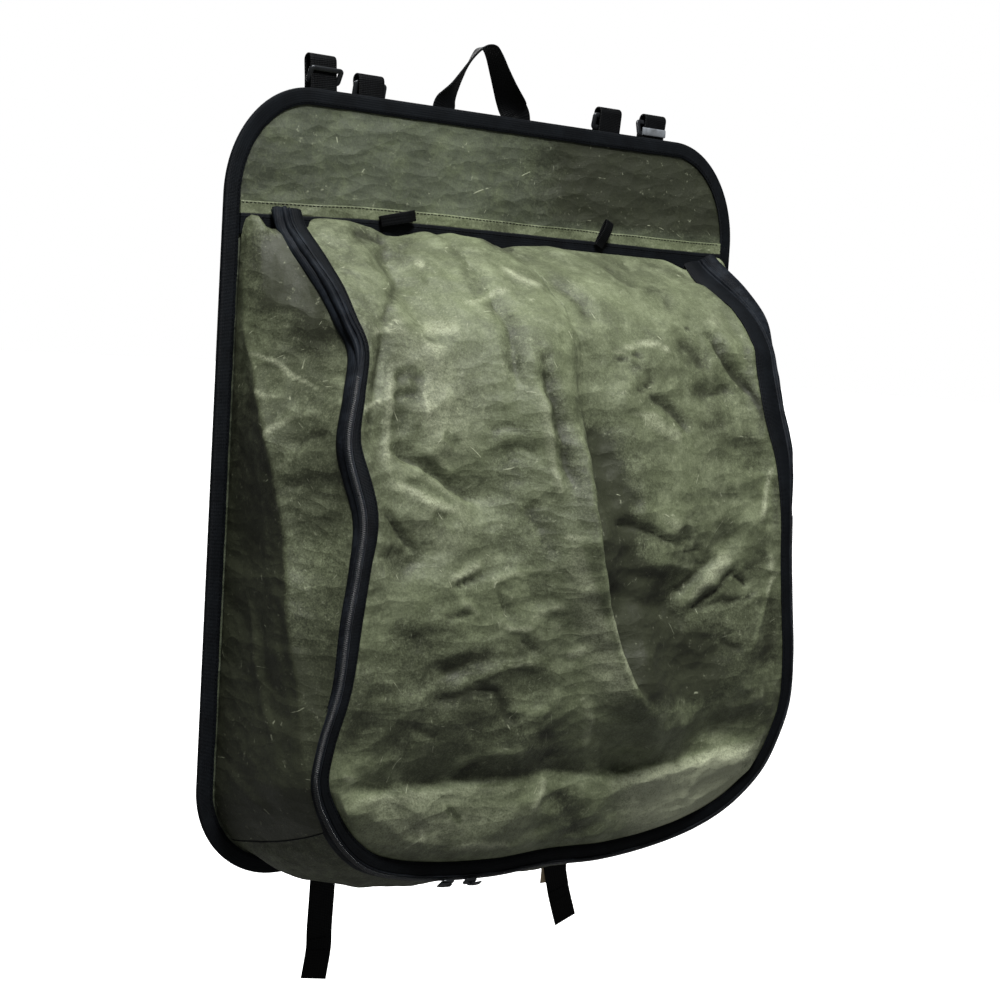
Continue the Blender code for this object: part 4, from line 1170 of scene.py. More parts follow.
def panel_edge():
    """Closed outline of the panel with evenly spaced points and outward directions."""
    half = PANEL_WIDTH / 2
    top = (half - TOP_CORNER_WIDE, TOP_CORNER_HIGH, TOP_CORNER_WIDE, TOP_CORNER_HIGH)
    low = (half - BOTTOM_CORNER, PANEL_HEIGHT - BOTTOM_CORNER, BOTTOM_CORNER, BOTTOM_CORNER)
    points = []
    for first, sign, corner in ((0, 1, top), (90, -1, top), (180, -1, low), (270, 1, low)):
        side, drop, wide, high = corner
        angles = np.radians(first + np.linspace(0, 90, CORNER_POINTS))
        points.append(place(sign * side + wide * np.cos(angles), 0.0, drop - high * np.sin(angles)))
    loop = np.vstack(points + [points[0][:1]])
    loop = resample(loop, int(lengths_along(loop)[-1] / EDGE_STEP))[:-1]
    along = unit(np.roll(loop, -1, axis=0) - np.roll(loop, 1, axis=0))
    outward = unit(np.cross(along, REARWARD))
    middle = place(0.0, 0.0, PANEL_HEIGHT / 2)
    return loop, outward * np.sign(((loop - middle) * outward).sum(axis=1).mean())


def make_back_panel():
    """Flat canvas back, its edge hidden in the binding."""
    corner = 1 - np.cos(np.linspace(0, math.pi / 2, CORNER_ROWS))
    drops = np.concatenate([
        corner * TOP_CORNER_HIGH,
        np.linspace(TOP_CORNER_HIGH, PANEL_HEIGHT - BOTTOM_CORNER, PANEL_ROWS)[1:-1],
        PANEL_HEIGHT - corner[::-1] * BOTTOM_CORNER,
    ])
    drops = np.clip(drops, PANEL_INSET, PANEL_HEIGHT - PANEL_INSET)[:, None]
    half = panel_half(drops) - PANEL_SIDE_INSET
    grid = place(half * np.linspace(-1, 1, PANEL_COLUMNS), 0.0, drops)
    ripple = noise_field(grid, RIPPLE_LENGTH, 3) * RIPPLE_HEIGHT
    grid[..., 1] += np.clip(ripple, -RIPPLE_LIMIT, RIPPLE_LIMIT)
    side = side_and_drop(grid)[0]
    tone = (FLAP_RIGHT_TONE * clamp((side - DARK_RIGHT[0]) / DARK_RIGHT[1])
            + FLAP_LEFT_TONE * clamp((-side - DARK_LEFT[0]) / DARK_LEFT[1]))
    tone = tone * clamp((BAND_TOP_DROP - drops) / DARK_ABOVE)
    item = cloth("back_panel_canvas", grid, FLAP, tone, PANEL_CLOTH)
    dress(item, "canvas", "back_panel")


def binding_section(inner, outer, width, edge, count=5):
    """U of folded tape round a sheet's edge, open to the inside of the sheet."""
    angles = np.linspace(math.pi / 2, -math.pi / 2, 9)
    round_out = [(edge + (outer - 0.0002) * 0.55 * math.cos(a), outer * math.sin(a)) for a in angles]
    upper = [(-width, inner + (outer - inner) * share) for share in (0.35, 0.75)]
    upper += [(x, outer + 0.00012 * math.sin(x * 900))
              for x in np.linspace(-width + 0.0004, edge, count)[:-1]]
    return upper + round_out + [(x, -y) for x, y in upper[::-1]] + [(edge, -inner), (edge, inner)]


def make_back_binding():
    loop, outward = panel_edge()
    section = np.array(binding_section(TAPE_INSIDE, TAPE_OUTSIDE, BINDING_WIDTH, 0.0004))
    sections = np.repeat(section[None], len(loop), axis=0)
    sections[:, section[:, 0] < -0.004, 0] += (noise_field(loop, 0.013, 5, 2) * 0.0004)[:, None]
    item = ribbon("back_binding_tape", loop, outward, same(FRONTWARD, loop), sections, TAPE, cyclic=True)
    dress(item, "binding", "back_binding")
    seam = loop - outward * (BINDING_WIDTH - STITCH_INSET)
    seam = np.vstack([seam, seam[:1]])
    for name, out in (("front", FRONTWARD), ("rear", REARWARD)):
        stitches("back_binding_stitch_" + name, seam + out * TAPE_OUTSIDE, same(out, seam),
                 "binding", cyclic=True)


def make_strips():
    """Folded canvas band and the black tape under it, across the panel."""
    half = PANEL_WIDTH / 2 - BINDING_WIDTH - 0.0003
    sides = np.linspace(-half, half, STRIP_COLUMNS)
    base = PANEL_THICKNESS / 2 + 0.0003
    sag = clamp((-sides - STRIP_SAG_FROM) / (half - STRIP_SAG_FROM)) ** 1.3
    for name, top, bottom, thick, seed, seam in STRIPS:
        wobble = noise_field(place(sides, 0.0, 0.0), 0.045, seed, 2) * 0.0006 - STRIP_SAG * sag
        centre = place(sides, base + thick / 2, (top + bottom) / 2) + UPWARD * wobble[:, None]
        toward = same(FRONTWARD, centre)
        section = band_section(bottom - top, thick, 0.25, 0.0, 8)
        material, slot = (CANVAS, "canvas") if name == "top_band" else (TAPE, "binding")
        item = ribbon(name + "_strip", centre, same(UPWARD, centre), toward, section, material)
        dress(item, slot, name)
        line = centre + UPWARD * seam + toward * (thick / 2)
        stitches(name + "_stitch", line, toward, "binding")


# Zip and cloths


def corner_reach(beyond):
    """How far the seam's rounded corner still reaches, at a place beyond its start."""
    radius = BOTTOM_CORNER - SEAM_INSET
    return np.sqrt(np.maximum(radius ** 2 - np.maximum(beyond, 0.0) ** 2, 0.0))


def seam_side(drop, sign):
    """Seam on the panel at each drop, on its left or right side."""
    side = PANEL_WIDTH / 2 - BOTTOM_CORNER + corner_reach(drop - PANEL_HEIGHT + BOTTOM_CORNER)
    return place(sign * side, SEAM_DEPTH, drop)


def seam_bottom(side):
    """Seam on the panel along its bottom."""
    beyond = np.abs(side) - PANEL_WIDTH / 2 + BOTTOM_CORNER
    return place(side, SEAM_DEPTH, PANEL_HEIGHT - BOTTOM_CORNER + corner_reach(beyond))


class Edge:
    """The zip line with its directions, and the seam behind each of its points."""

    def __init__(self):
        left = [place(-row[2], row[1], row[0]) for row in ZIP_ROWS]
        right = [place(row[3], row[1], row[0]) for row in ZIP_ROWS]
        middle = place(0.0, ZIP_MIDDLE_DEPTH, ZIP_MIDDLE_DROP)
        self.points = smooth_line(left + [middle] + right[::-1], ZIP_STEPS)
        drops = side_and_drop(self.points)[1]
        first = int(np.argmax(drops > CORNER_SEAM_DROP))
        self.top = CLOTH_FIRST_STEP
        self.left_corner = STEP_RATIO * math.ceil(first / STEP_RATIO)
        self.right_corner = ZIP_STEPS - self.left_corner
        self.seam = self.seam_points(drops)
        along = unit(np.gradient(self.points, axis=0))
        self.along = along
        self.front = unit(np.cross(along, REARWARD))
        self.front_out = unit(np.cross(along, self.front))
        back = self.seam - self.points
        back = unit(back - along * (back * along).sum(axis=1, keepdims=True))
        self.gusset_out = unit(np.cross(back, along))
        widths = self.width_rows(drops)
        self.front_width, self.rear_width = widths[:, :1], widths[:, 1:2]
        turn = np.radians(widths[:, 2:])
        self.back = back * np.cos(turn) + self.gusset_out * np.sin(turn)
        self.back_out = unit(np.cross(self.back, along))
        self.crest = unit(self.front_out + self.back_out)
        half = ZIP_STEPS // 2
        roll_ends = np.where(np.arange(ZIP_STEPS + 1) < half, LEFT_ROLL_END, RIGHT_ROLL_END)
        self.rolled = drops < roll_ends

    def seam_points(self, drops):
        corner_cut = (1 - math.sqrt(0.5)) * (BOTTOM_CORNER - SEAM_INSET)
        corner_drop = PANEL_HEIGHT - SEAM_INSET - corner_cut
        corner_side = PANEL_WIDTH / 2 - SEAM_INSET - corner_cut
        seam = np.zeros_like(self.points)
        for sign, corner, part_of in ((-1, self.left_corner, slice(0, self.left_corner + 1)),
                                      (1, self.right_corner, slice(self.right_corner, None))):
            start, end = drops[0], drops[corner]
            part = np.clip((drops[part_of] - start) / (end - start), 0.0, None)
            seam[part_of] = seam_side(SEAM_TOP_DROP + part * (corner_drop - SEAM_TOP_DROP), sign)
            lift = np.clip(1 - (drops[part_of] - start) / (SEAM_TOP_DROP - start), 0.0, None)
            seam[part_of, 1] -= SEAM_TOP_LIFT * lift
        inner = slice(self.left_corner + 1, self.right_corner)
        first, last = self.points[self.left_corner, 0], self.points[self.right_corner, 0]
        part = (self.points[inner, 0] - first) / (last - first)
        seam[inner] = seam_bottom((2 * part - 1) * corner_side)
        return seam

    def width_rows(self, drops):
        """Widths of the two bands and turn of the rear one, at every point of the line."""
        sides = []
        for table, part in ((LEFT_WIDTHS, drops[:ZIP_STEPS // 2]),
                            (RIGHT_WIDTHS, drops[ZIP_STEPS // 2:])):
            table = np.array(table)
            sides.append(look_up(part, table[:, 0], table[:, 1:]))
        return smooth_columns(np.concatenate(sides), 6)

    def at(self, across_front=0.0, out_front=0.0, across_back=0.0, out_back=0.0):
        return (self.points + self.front * across_front + self.front_out * out_front
                + self.back * across_back + self.back_out * out_back)


def fold_sum(side, drop):
    """Height of the front's main folds, as in the part."""
    total = np.zeros_like(side)
    at = np.stack([side, drop], axis=-1)
    for x_from, drop_from, x_to, drop_to, half_width, height in FRONT_FOLDS:
        away = line_distance(at, ((x_from, drop_from), (x_to, drop_to)))[0]
        total += height * np.exp(-(away / half_width) ** 2)
    return total


def photo_pixels(points):
    """Where points of the frame lie in the photograph."""
    right, up, ahead = camera_directions()
    away = points - np.array(CAMERA_AT)
    depth = away @ ahead
    across = IMAGE_SIZE / 2 + FOCAL_PIXELS * (away @ right) / depth
    down = IMAGE_SIZE / 2 - FOCAL_PIXELS * (away @ up) / depth
    return np.stack([across, down], axis=-1)


def crease_sum(points, creases):
    """Height and tone of a table of creases at each point of a cloth, in metres. The tone is pale worn
    wax together with painted light and shade.
    """
    at = photo_pixels(points)
    wander = np.stack([noise_field(points, 0.020, seed, 2) for seed in (11, 12)], axis=-1)
    at = at + wander * CREASE_WANDER
    height = np.zeros(at.shape[:-1])
    tone = np.zeros(at.shape[:-1])
    for rise, right_width, left_width, shade, line in creases:
        away, along, side = line_distance(at, line)
        width = np.where(side > 0, right_width, left_width) * PIXELS_PER_MM
        fade = clamp(np.minimum(along, 1 - along) * CREASE_ENDS + 0.15)
        profile = np.exp(-(away / width) ** 1.6) * fade
        height += CREASE_GAIN * rise / 1000 * profile
        tone += TONE_GAIN * shade * profile
    return height, tone


def front_lines(edge, under=0.0, out=0.0):
    """Left, right and bottom lines of the front, beside its binding or under it."""
    inset = CHAIN_HALF + CHAIN_GAP + edge.front_width + CLOTH_GAP - under
    line = edge.at(across_front=inset, out_front=out)
    return (line[edge.top:edge.left_corner + 1],
            line[edge.right_corner:ZIP_STEPS - edge.top + 1][::-1],
            resample(line[edge.left_corner:edge.right_corner + 1], FRONT_COLUMNS))


def front_grid(edge):
    """Patch between the four lines of the front's edge."""
    left, right, bottom = front_lines(edge)
    u = np.linspace(0, 1, FRONT_COLUMNS + 1)
    near_end = np.exp(-(np.minimum(u, 1 - u) / FRONT_TOP_END) ** 2)[:, None]
    run = left[0] + (right[0] - left[0]) * u[:, None]
    side = run[:, 0] - PANEL_MIDDLE_X
    drop = np.interp(side, *np.array(FRONT_TOP_ROWS).T)
    flat = place(side, FRONT_TOP_DEPTH, smooth_columns(drop[:, None], 1)[:, 0])
    top = flat * (1 - near_end) + run * near_end
    v = np.linspace(0, 1, len(left))[:, None, None]
    u = u[None, :, None]
    sides = left[:, None] * (1 - u) + right[:, None] * u
    ends = top[None] * (1 - v) + bottom[None] * v
    corners = ((left[0] * (1 - u) + right[0] * u) * (1 - v)
               + (left[-1] * (1 - u) + right[-1] * u) * v)
    return sides + ends - corners


def make_front(edge):
    """Soft front with its bulge, main folds, creases and crumpled wax."""
    grid = front_grid(edge)
    u = np.linspace(0, 1, grid.shape[1])[None, :]
    v = np.linspace(0, 1, grid.shape[0])[:, None]

    def window(sides, top, bottom):
        return (np.minimum(1.0, sides * u * (1 - u)) * np.minimum(1.0, top * v)
                * np.minimum(1.0, bottom * (1 - v)))

    normal = unit(np.cross(np.gradient(grid, axis=0), np.gradient(grid, axis=1)))
    bulge = FRONT_BULGE * 4 * u * (1 - u) * np.sqrt(np.clip(np.sin(math.pi * v), 0, None))
    folds = fold_sum(*side_and_drop(grid)) * window(SIDE_FADE, TOP_FADE, BOTTOM_FADE)
    base = grid + normal * (bulge + folds)[..., None]
    # The crease tone paints the light and shade of the front's folds, as well as its worn wax
    crease, tone = crease_sum(base, FRONT_CREASES)
    crumple = (ridge_field(grid, 0.085, 4) * 0.0042 + ridge_field(grid, 0.036, 5) * 0.0018
               + noise_field(grid, 0.050, 8, 4) * 0.0012)
    grid = base + normal * ((crease + crumple) * window(40, 30, 30))[..., None]
    grid, tone = tuck_front(edge, grid, tone)
    item = cloth("front_canvas", grid, CANVAS, tone)
    dress(item, "canvas", "front_panel")


def tuck_front(edge, grid, tone):
    """Adds the rows and columns of the front that lie under its binding and tape."""
    left, right, bottom = front_lines(edge, TUCK, -0.0002)
    top = grid[0] + np.array([0.0, 0.0013, -0.0002])
    grid = np.concatenate([left[:, None], grid, right[:, None]], axis=1)
    top, bottom = (np.pad(row, ((1, 1), (0, 0)), mode="edge")[None] for row in (top, bottom))
    return np.concatenate([top, grid, bottom], axis=0), np.pad(tone, 1, mode="edge")


def gusset_grid(edge, first, last, columns):
    """Straight rows of a gusset, from under the zip tape back to the seam."""
    start = CHAIN_HALF + CHAIN_GAP + edge.rear_width + CLOTH_GAP - TUCK
    front = edge.at(across_back=start, out_back=-0.0004)[first:last + 1]
    rear = edge.seam[first:last + 1]
    t = np.linspace(0, 1, columns + 1)[None, :, None]
    return front[:, None] * (1 - t) + rear[:, None] * t


def side_relief(grid, flip):
    """Push and tone of a side gusset: its bulge, ridge, creases and crumple, with painted shade behind
    its ridge and low down.
    """
    t = np.linspace(0, 1, grid.shape[1])[None, :]
    part = np.linspace(0, 1, grid.shape[0])[:, None]
    drop = side_and_drop(grid)[1]
    ridge_depths, ridge_drops = np.array(RIDGE_ROWS).T
    away = -grid[..., 1] - np.interp(drop, ridge_drops, ridge_depths)
    wide = np.where(away > 0, RIDGE_FRONT, RIDGE_REAR)
    fade = np.sqrt(np.clip(np.sin(math.pi * (part if not flip else 1 - part) * 0.88), 0, None))
    ridge = RIDGE_HEIGHT * np.exp(-(np.abs(away) / wide) ** 1.1)
    window = np.clip(np.sin(math.pi * t), 0, None) ** 0.5 * fade
    shown = grid * np.array([-1.0, 1.0, 1.0]) + np.array([2 * PANEL_MIDDLE_X, 0.0, 0.0])
    crease, tone = crease_sum(shown if flip else grid, SIDE_CREASES)
    crumple = noise_field(grid, 0.055, 21 + flip, 4) * 0.0020
    crumple += ridge_field(grid, 0.060, 7 + flip) * 0.0022
    push = np.sin(math.pi * t) * fade * SIDE_BULGE + window * (ridge + crease + crumple)
    # Painted shade: the gusset is darkened behind its ridge and low down
    behind = clamp(-away / BEHIND_FADE) * clamp((drop - BEHIND_FROM[0]) / BEHIND_FROM[1])
    low = clamp((drop - LOW_FROM[0]) / LOW_FROM[1])
    return push, tone - BEHIND_SHADE * behind - LOW_SHADE * low


def raise_ear(grid):
    """Lifts the top of a side gusset in its ear, and curls its edge back."""
    t = np.linspace(0, 1, grid.shape[1])[None, :]
    down = np.linalg.norm(grid - grid[:1], axis=-1)
    near = np.exp(-(down / EAR_REACH) ** 2)
    lift = np.interp(t, *np.array(EAR_ROWS).T) * near
    curl = EAR_CURL * np.exp(-(down / 0.004) ** 2) * np.sin(math.pi * t) ** 0.5
    out = 0.004 * near * np.sin(math.pi * t)
    return grid + np.stack([lift * 0, curl - out, lift], axis=-1)


def gusset_cloth(name, grid, tone):
    item = cloth("gusset_canvas_" + name, grid, CANVAS, tone)
    dress(item, "canvas", "gusset_" + name)


def make_gussets(edge):
    corners = {}
    for name, first, end, flip in (("left", edge.top, edge.left_corner, 0),
                                   ("right", edge.right_corner, ZIP_STEPS - edge.top, 1)):
        grid = gusset_grid(edge, first, end, SIDE_GUSSET_COLUMNS)
        push, tone = side_relief(grid, flip)
        grid = grid + edge.gusset_out[first:end + 1][:, None] * push[..., None]
        grid = raise_ear(grid[::-1])[::-1] if flip else raise_ear(grid)
        gusset_cloth(name, grid, tone)
        corners[name] = grid[0] if flip else grid[-1]
    first, end = edge.left_corner, edge.right_corner
    grid = gusset_grid(edge, first, end, BOTTOM_GUSSET_COLUMNS)
    t = np.linspace(0, 1, grid.shape[1])[None, :]
    part = np.linspace(0, 1, grid.shape[0])[:, None]
    fade = np.clip(np.sin(math.pi * part), 0, None) ** 0.3
    ripple = noise_field(grid, 0.070, 31, 4) * 0.0040 + ridge_field(grid, 0.05, 9) * 0.0020
    push = np.sin(math.pi * t) * fade * (BOTTOM_SAG + ripple)
    grid = grid + edge.gusset_out[first:end + 1][:, None] * push[..., None]
    for row, name in ((0, "left"), (-1, "right")):
        grid[row] = resample(corners[name], BOTTOM_GUSSET_COLUMNS)
    # The bottom gusset is darkened all over with painted shade
    gusset_cloth("bottom", grid, np.full(grid.shape[:2], BOTTOM_SHADE))
    section = rounded_section(*CORNER_SEAM_HALVES, 1.0, 8)
    for name, line in corners.items():
        line = resample(line, CORNER_SEAM_STEPS)
        out = same(unit(np.array([-1.0 if name == "left" else 1.0, 0.0, -1.0])), line)
        item = ribbon("corner_seam_" + name, line + out * CORNER_SEAM_HALVES[1],
                      beside(line, out), out, section, TAPE)
        dress(item, "binding")


def scaled_sections(section, widths, width, dome):
    """The same section at every point of a line, as wide as it is there and puffed with it."""
    section = np.array(section)
    ratio = widths[:, 0] / width
    sections = np.repeat(section[None], len(ratio), axis=0)
    sections[..., 0] *= ratio[:, None]
    across = clamp(-section[:, 0] / width)
    puff = np.where(section[:, 1] > 0, 4 * across * (1 - across), 0.0)
    sections[..., 1] += puff * (dome * np.clip(ratio - 0.4, 0.0, 1.6))[:, None]
    return sections


def make_teeth(edge, base, across):
    """Two rows of coil teeth that mesh, where no fold hides them."""
    count = int(lengths_along(base)[-1] / TOOTH_PITCH)
    places = np.linspace(0, ZIP_STEPS, count * 2 + 1)
    steps = np.arange(ZIP_STEPS + 1)
    shown = ~edge.rolled[np.rint(places).astype(int)]
    top = base + edge.crest * TOOTH_RISE
    for name, sign, first in (("front", -1.0, 0), ("rear", 1.0, 1)):
        targets = places[first::2][shown[first::2]]
        middle = look_up(targets, steps, top)
        side, out = (unit(look_up(targets, steps, table)) for table in (across, edge.crest))
        ends_from = middle - side * sign * TOOTH_INSIDE + out * TOOTH_TILT
        ends_to = middle + side * sign * TOOTH_OUTSIDE - out * TOOTH_TILT
        dress(capsules("zip_teeth_" + name, ends_from, ends_to, out, TOOTH_RADIUS, COIL), "zip")


def make_zip(edge):
    """Zip tape, coil teeth, rolled fold and the binding round the front."""
    part = slice(0, RIGHT_START + 1)
    across = unit(edge.back - edge.front)
    base = edge.points - edge.crest * CHAIN_SINK
    item = ribbon("zip_chain_tape", base[part], across[part], edge.crest[part], CHAIN_SECTION, ZIP_TAPE)
    dress(item, "zip", "zip_chain")
    make_teeth(edge, base, across)

    # The fold is lower towards its end
    half = ZIP_STEPS // 2
    for name, first, last in (("left", 0, int(np.argmin(edge.rolled[:half]))),
                              ("right", half + int(np.argmax(edge.rolled[half:])), RIGHT_START)):
        steps_of = slice(first, last + 1)
        run = np.linspace(0, 1, last - first + 1)
        size = np.sqrt(clamp((run if name == "right" else run[::-1]) * FOLD_FADE))
        waves = 1 + FOLD_WAVE * noise_field(base[steps_of], FOLD_WAVE_LENGTH, 41, 2)
        sections = np.array(FOLD_SECTION)[None] * (size * waves)[:, None, None]
        item = ribbon("zip_fold_" + name, base[steps_of], across[steps_of], edge.crest[steps_of],
                      sections, ZIP_TAPE)
        dress(item, "zip")

    start = CHAIN_HALF + CHAIN_GAP
    section = binding_section(*REAR_WALLS, ZIP_TAPE_WIDTH, 0.0, 9)
    section = scaled_sections(section, edge.rear_width, ZIP_TAPE_WIDTH, REAR_DOME)
    item = ribbon("zip_tape_rear", edge.at(across_back=start)[part], -edge.back[part],
                  edge.back_out[part], section[part], ZIP_TAPE)
    dress(item, "zip", "zip_tape")
    section = binding_section(*FRONT_WALLS, FRONT_BINDING_WIDTH, 0.0, 9)
    section = scaled_sections(section, edge.front_width, FRONT_BINDING_WIDTH, FRONT_DOME)
    item = ribbon("front_binding_tape", edge.at(across_front=start)[part], -edge.front[part],
                  edge.front_out[part], section[part], TAPE)
    dress(item, "binding", "front_binding")
    line = edge.at(across_front=start + edge.front_width - 0.0018, out_front=0.0020)
    stitches("front_binding_stitch", line[part], edge.front_out[part], "binding")
    line = edge.at(across_back=start + edge.rear_width - 0.0016, out_back=0.0018)
    stitches("zip_tape_stitch", line[part], edge.back_out[part], "binding")


# Straps and hardware


def strap_frame(line, turns=0.0):
    """Across and out directions of a strap that turns about the vertical."""
    turns = np.zeros(len(line)) + turns
    along = unit(np.gradient(line, axis=0))
    flat = np.stack([np.cos(turns), np.sin(turns), np.zeros_like(turns)], axis=1)
    flat = unit(flat - along * (flat * along).sum(axis=1, keepdims=True))
    return flat, unit(np.cross(along, flat))


def make_strap(name, line, node, turns=0.0, columns=12):
    """Webbing along a line. Gives its directions across and out."""
    across, out = strap_frame(line, turns)
    section = band_section(WEBBING_WIDTH, WEBBING, WEB_ROUNDING, 0.0, columns)
    dress(ribbon(name, line, across, out, section, WEB), "webbing", node)
    return across, out


def make_handle():
    rows = np.array(HANDLE_ROWS)
    runs = lengths_along(rows[:, :3])
    turns = look_up(np.linspace(0, runs[-1], HANDLE_STEPS + 1), runs, np.radians(rows[:, 3:]))
    line = smooth_line(rows[:, :3], HANDLE_STEPS)
    make_strap("handle_webbing", line, "handle", smooth_columns(turns, 4)[:, 0], 14)


def loop_line(side, rise, lean):
    """Strap that rises behind the panel, bends over and comes down again behind it."""
    points = [place(side, -STRAP_BEHIND, STRAP_FOOT_DROP), place(side, -STRAP_BEHIND, 0.004)]
    bend = rise - LOOP_RADIUS - WEBBING / 2
    for angle in np.linspace(0, math.pi, 13):
        back = STRAP_BEHIND + LOOP_RADIUS * (1 - math.cos(angle))
        points.append(place(side + lean, -back, -bend - LOOP_RADIUS * math.sin(angle)))
    points.append(place(side + lean / 2, -STRAP_BEHIND - 2 * LOOP_RADIUS, -bend / 2))
    points.append(place(side, -STRAP_BEHIND - 2 * LOOP_RADIUS, STRAP_TAIL_DROP))
    return np.array(points)


def make_top_straps():
    for name, side, rise, lean, frame_rise, tilt, behind in TOP_STRAPS:
        line = resample(loop_line(side, rise, lean), TOP_STRAP_STEPS)
        make_strap("top_strap_webbing_" + name, line, "top_strap_" + name)
        make_buckle(name, side, frame_rise, tilt, behind)
    line = place(TOP_STRAPS[-1][1] + np.linspace(-PLATE_LONG / 2, PLATE_LONG / 2, 24),
                 -STRAP_BEHIND + WEBBING / 2 + PLATE_THICKNESS / 2 + 0.0002, -PLATE_RISE)
    section = band_section(PLATE_HIGH, PLATE_THICKNESS, WEB_ROUNDING, PLATE_DOME, 8)
    item = ribbon("top_strap_plate", line, same(UPWARD, line), same(FRONTWARD, line), section, PLATE)
    dress(item, "metal")


def make_buckle(name, side, rise, tilt, behind):
    """Metal slider frame with rounded bars, threaded on its strap."""
    angle = math.radians(tilt)
    axes = np.array([SIDEWARD, (0.0, math.sin(angle), math.cos(angle))])
    out = np.array([0.0, math.cos(angle), -math.sin(angle)])
    half = (np.array([BUCKLE_LONG, BUCKLE_HIGH]) - BUCKLE_BAR) / 2 - BUCKLE_CORNER
    path, spreads = [], []
    for signs, first in (((1, 1), 0), ((-1, 1), 90), ((-1, -1), 180), ((1, -1), 270)):
        angles = np.radians(first + np.linspace(0, 90, 6))
        spreads.append(np.stack([np.cos(angles), np.sin(angles)], axis=1))
        path.append(np.array(signs) * half + spreads[-1] * BUCKLE_CORNER)
    centres = place(side, -STRAP_BEHIND - behind, -rise) + np.concatenate(path) @ axes
    section = rounded_section(BUCKLE_BAR / 2, BUCKLE_THICKNESS / 2, 0.6, 12)
    item = ribbon("top_buckle_frame_" + name, centres, np.concatenate(spreads) @ axes,
                  same(out, centres), section, STEEL, cyclic=True)
    dress(item, "metal", "top_buckle_" + name)


def make_keepers():
    section = band_section(KEEPER_WIDTH, KEEPER_THICKNESS, WEB_ROUNDING, 0.0, 8)
    for name, side, drop, degrees, size, lift in KEEPERS:
        angle = math.radians(degrees)
        along = np.array([math.cos(angle), 0.0, math.sin(angle)])
        base = place(side, KEEPER_DEPTH, drop)
        line = smooth_line([base + along * run * size + FRONTWARD * (high + lift * share)
                            for run, high, share in KEEPER_ROWS], KEEPER_STEPS)
        across = same(np.array([-math.sin(angle), 0.0, math.cos(angle)]), line)
        item = ribbon("keeper_webbing_" + name, line, across, beside(line, across), section, WEB)
        dress(item, "webbing", "keeper_loop_" + name)


def make_bottom_straps():
    for name, rows in BOTTOM_STRAPS:
        line = smooth_line([place(row[0], -row[1], row[2]) for row in rows], BOTTOM_STRAP_STEPS)
        across, out = make_strap("bottom_strap_webbing_" + name, line, "bottom_strap_" + name)
        out = out * np.sign((out * FRONTWARD).sum(axis=1, keepdims=True))
        for k, share in enumerate(BOTTOM_SEAM_SHARES):
            at = int(share * BOTTOM_STRAP_STEPS)
            places = np.linspace(-BOTTOM_SEAM_HALF, BOTTOM_SEAM_HALF, 12)[:, None]
            seam = line[at] + across[at] * places + out[at] * (WEBBING / 2)
            stitches("bottom_strap_stitch_%s_%d" % (name, k + 1), seam, same(out[at], seam),
                     "webbing", lift=0.0)


def make_label():
    drops = np.linspace(LABEL_TOP_DROP, LABEL_BOTTOM_DROP, 30)
    near = STRAP_BEHIND + WEBBING / 2 + 0.0009
    curl = 0.0012 * np.sin((drops - LABEL_TOP_DROP) * 60)
    line = place(LABEL_SIDE, -near - np.abs(curl), drops)
    section = band_section(LABEL_WIDTH, LABEL_THICKNESS, WEB_ROUNDING, 0.0, 8)
    dress(ribbon("label_tab", line, *strap_frame(line), section, LABEL), "label", "side_label")


def make_sliders(edge):
    """Zip sliders: a waisted body over the coil with a bridge and a pull tab."""
    inner = np.arange(edge.left_corner, edge.right_corner)
    for name, side, pull in SLIDERS:
        i = inner[np.argmin(np.abs(edge.points[inner, 0] - (PANEL_MIDDLE_X + side)))]
        along, crest = edge.along[i] * pull, edge.crest[i]
        sideways = unit(np.cross(along, crest))
        base = edge.points[i] + crest * SLIDER_LIFT
        centres = np.array([base + along * row[0] for row in SLIDER_ROWS])
        sections = [rounded_section(half, (high - low) / 2, 0.5, 16, (low + high) / 2)
                    for _, half, low, high in SLIDER_ROWS]
        item = ribbon("slider_body_" + name, centres, same(sideways, centres), same(crest, centres),
                      sections, STEEL)
        dress(item, "zip", "zip_slider_" + name)
        for kind, width, thickness, steps, rows in SLIDER_BANDS:
            line = smooth_line([base + along * run + crest * high for run, high in rows], steps)
            flat = same(sideways, line)
            item = ribbon("slider_%s_%s" % (kind, name), line, flat, beside(line, flat),
                          band_section(width, thickness), STEEL)
            dress(item, "zip")


# Camera and stage


def make_camera():
    right, up, ahead = camera_directions()
    lens = bpy.data.cameras.new("camera")
    lens.sensor_width = SENSOR
    lens.lens = FOCAL_PIXELS / IMAGE_SIZE * SENSOR
    camera = bpy.data.objects.new("camera", lens)
    turn = Matrix(np.stack([right, up, -ahead], axis=1).tolist()).to_4x4()
    camera.matrix_world = Matrix.Translation(CAMERA_AT) @ turn
    bpy.context.scene.collection.objects.link(camera)
    bpy.context.scene.camera = camera


def add_light(name, at, target, size, power):
    lamp = bpy.data.lights.new(name, "AREA")
    lamp.shape = "SQUARE"
    lamp.size = size
    lamp.energy = power
    item = bpy.data.objects.new(name, lamp)
    item.location = at
    item.rotation_euler = (Vector(target) - Vector(at)).to_track_quat("-Z", "Y").to_euler()
    bpy.context.scene.collection.objects.link(item)


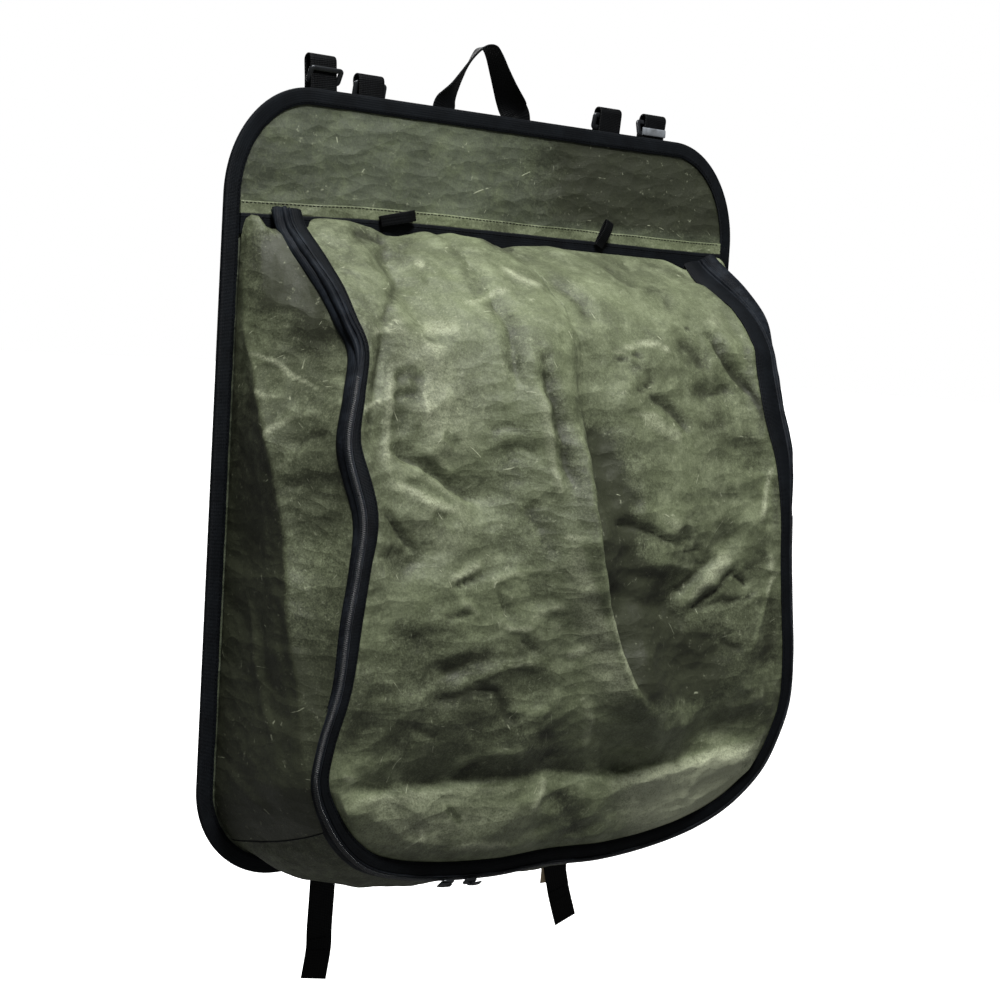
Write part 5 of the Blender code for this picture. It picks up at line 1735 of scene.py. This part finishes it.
def add_sun(name, source, angle, strength):
    lamp = bpy.data.lights.new(name, "SUN")
    lamp.angle = math.radians(angle)
    lamp.energy = strength
    item = bpy.data.objects.new(name, lamp)
    item.rotation_euler = Vector(source).to_track_quat("Z", "Y").to_euler()
    bpy.context.scene.collection.objects.link(item)


def make_stage():
    """Pale floor under the hanging bag, a white surround and soft studio light."""
    reach = FLOOR_REACH
    corners = [(-reach, -reach, FLOOR_Z), (reach, -reach, FLOOR_Z), (reach, reach, FLOOR_Z),
               (-reach, reach, FLOOR_Z)]
    material, tree, shader = new_material("floor", 0.9, 0.1)
    colour = mix_colour(noise_node(object_places(tree), 3.0, 4.0), *FLOOR_WHITES)
    seen = add_node(tree, "ShaderNodeLightPath").outputs["Is Camera Ray"]
    tree.links.new(mix_colour(seen, FLOOR_BOUNCE, colour), shader.inputs["Base Color"])
    shader.inputs["Emission Color"].default_value = (1.0, 1.0, 1.0, 1.0)
    tree.links.new(calculate("MULTIPLY", seen, FLOOR_GLOW), shader.inputs["Emission Strength"])
    new_mesh("floor", corners, [(0, 1, 2, 3)], material)
    world = bpy.data.worlds.new("surround")
    world.use_nodes = True
    tree = world.node_tree
    seen = add_node(tree, "ShaderNodeLightPath").outputs["Is Camera Ray"]
    sky = tree.nodes["Background"]
    tree.links.new(remap(seen, 0.0, 1.0, SURROUND_LIGHT, 1.0), sky.inputs["Strength"])
    sky.inputs["Color"].default_value = (1.0, 1.0, 1.0, 1.0)
    bpy.context.scene.world = world
    bpy.context.scene.view_settings.view_transform = "Standard"
    add_sun("sky", SUN_FROM, SUN_ANGLE, SUN_STRENGTH)
    add_light("key", KEY_AT, KEY_TARGET, KEY_SIZE, KEY_POWER)
    add_light("rear", REAR_AT, REAR_TARGET, REAR_SIZE, REAR_POWER)


make_camera()
make_back_panel()
make_back_binding()
make_strips()
edge = Edge()
make_front(edge)
make_gussets(edge)
make_zip(edge)
make_handle()
make_top_straps()
make_keepers()
make_bottom_straps()
make_label()
make_sliders(edge)
make_stage()
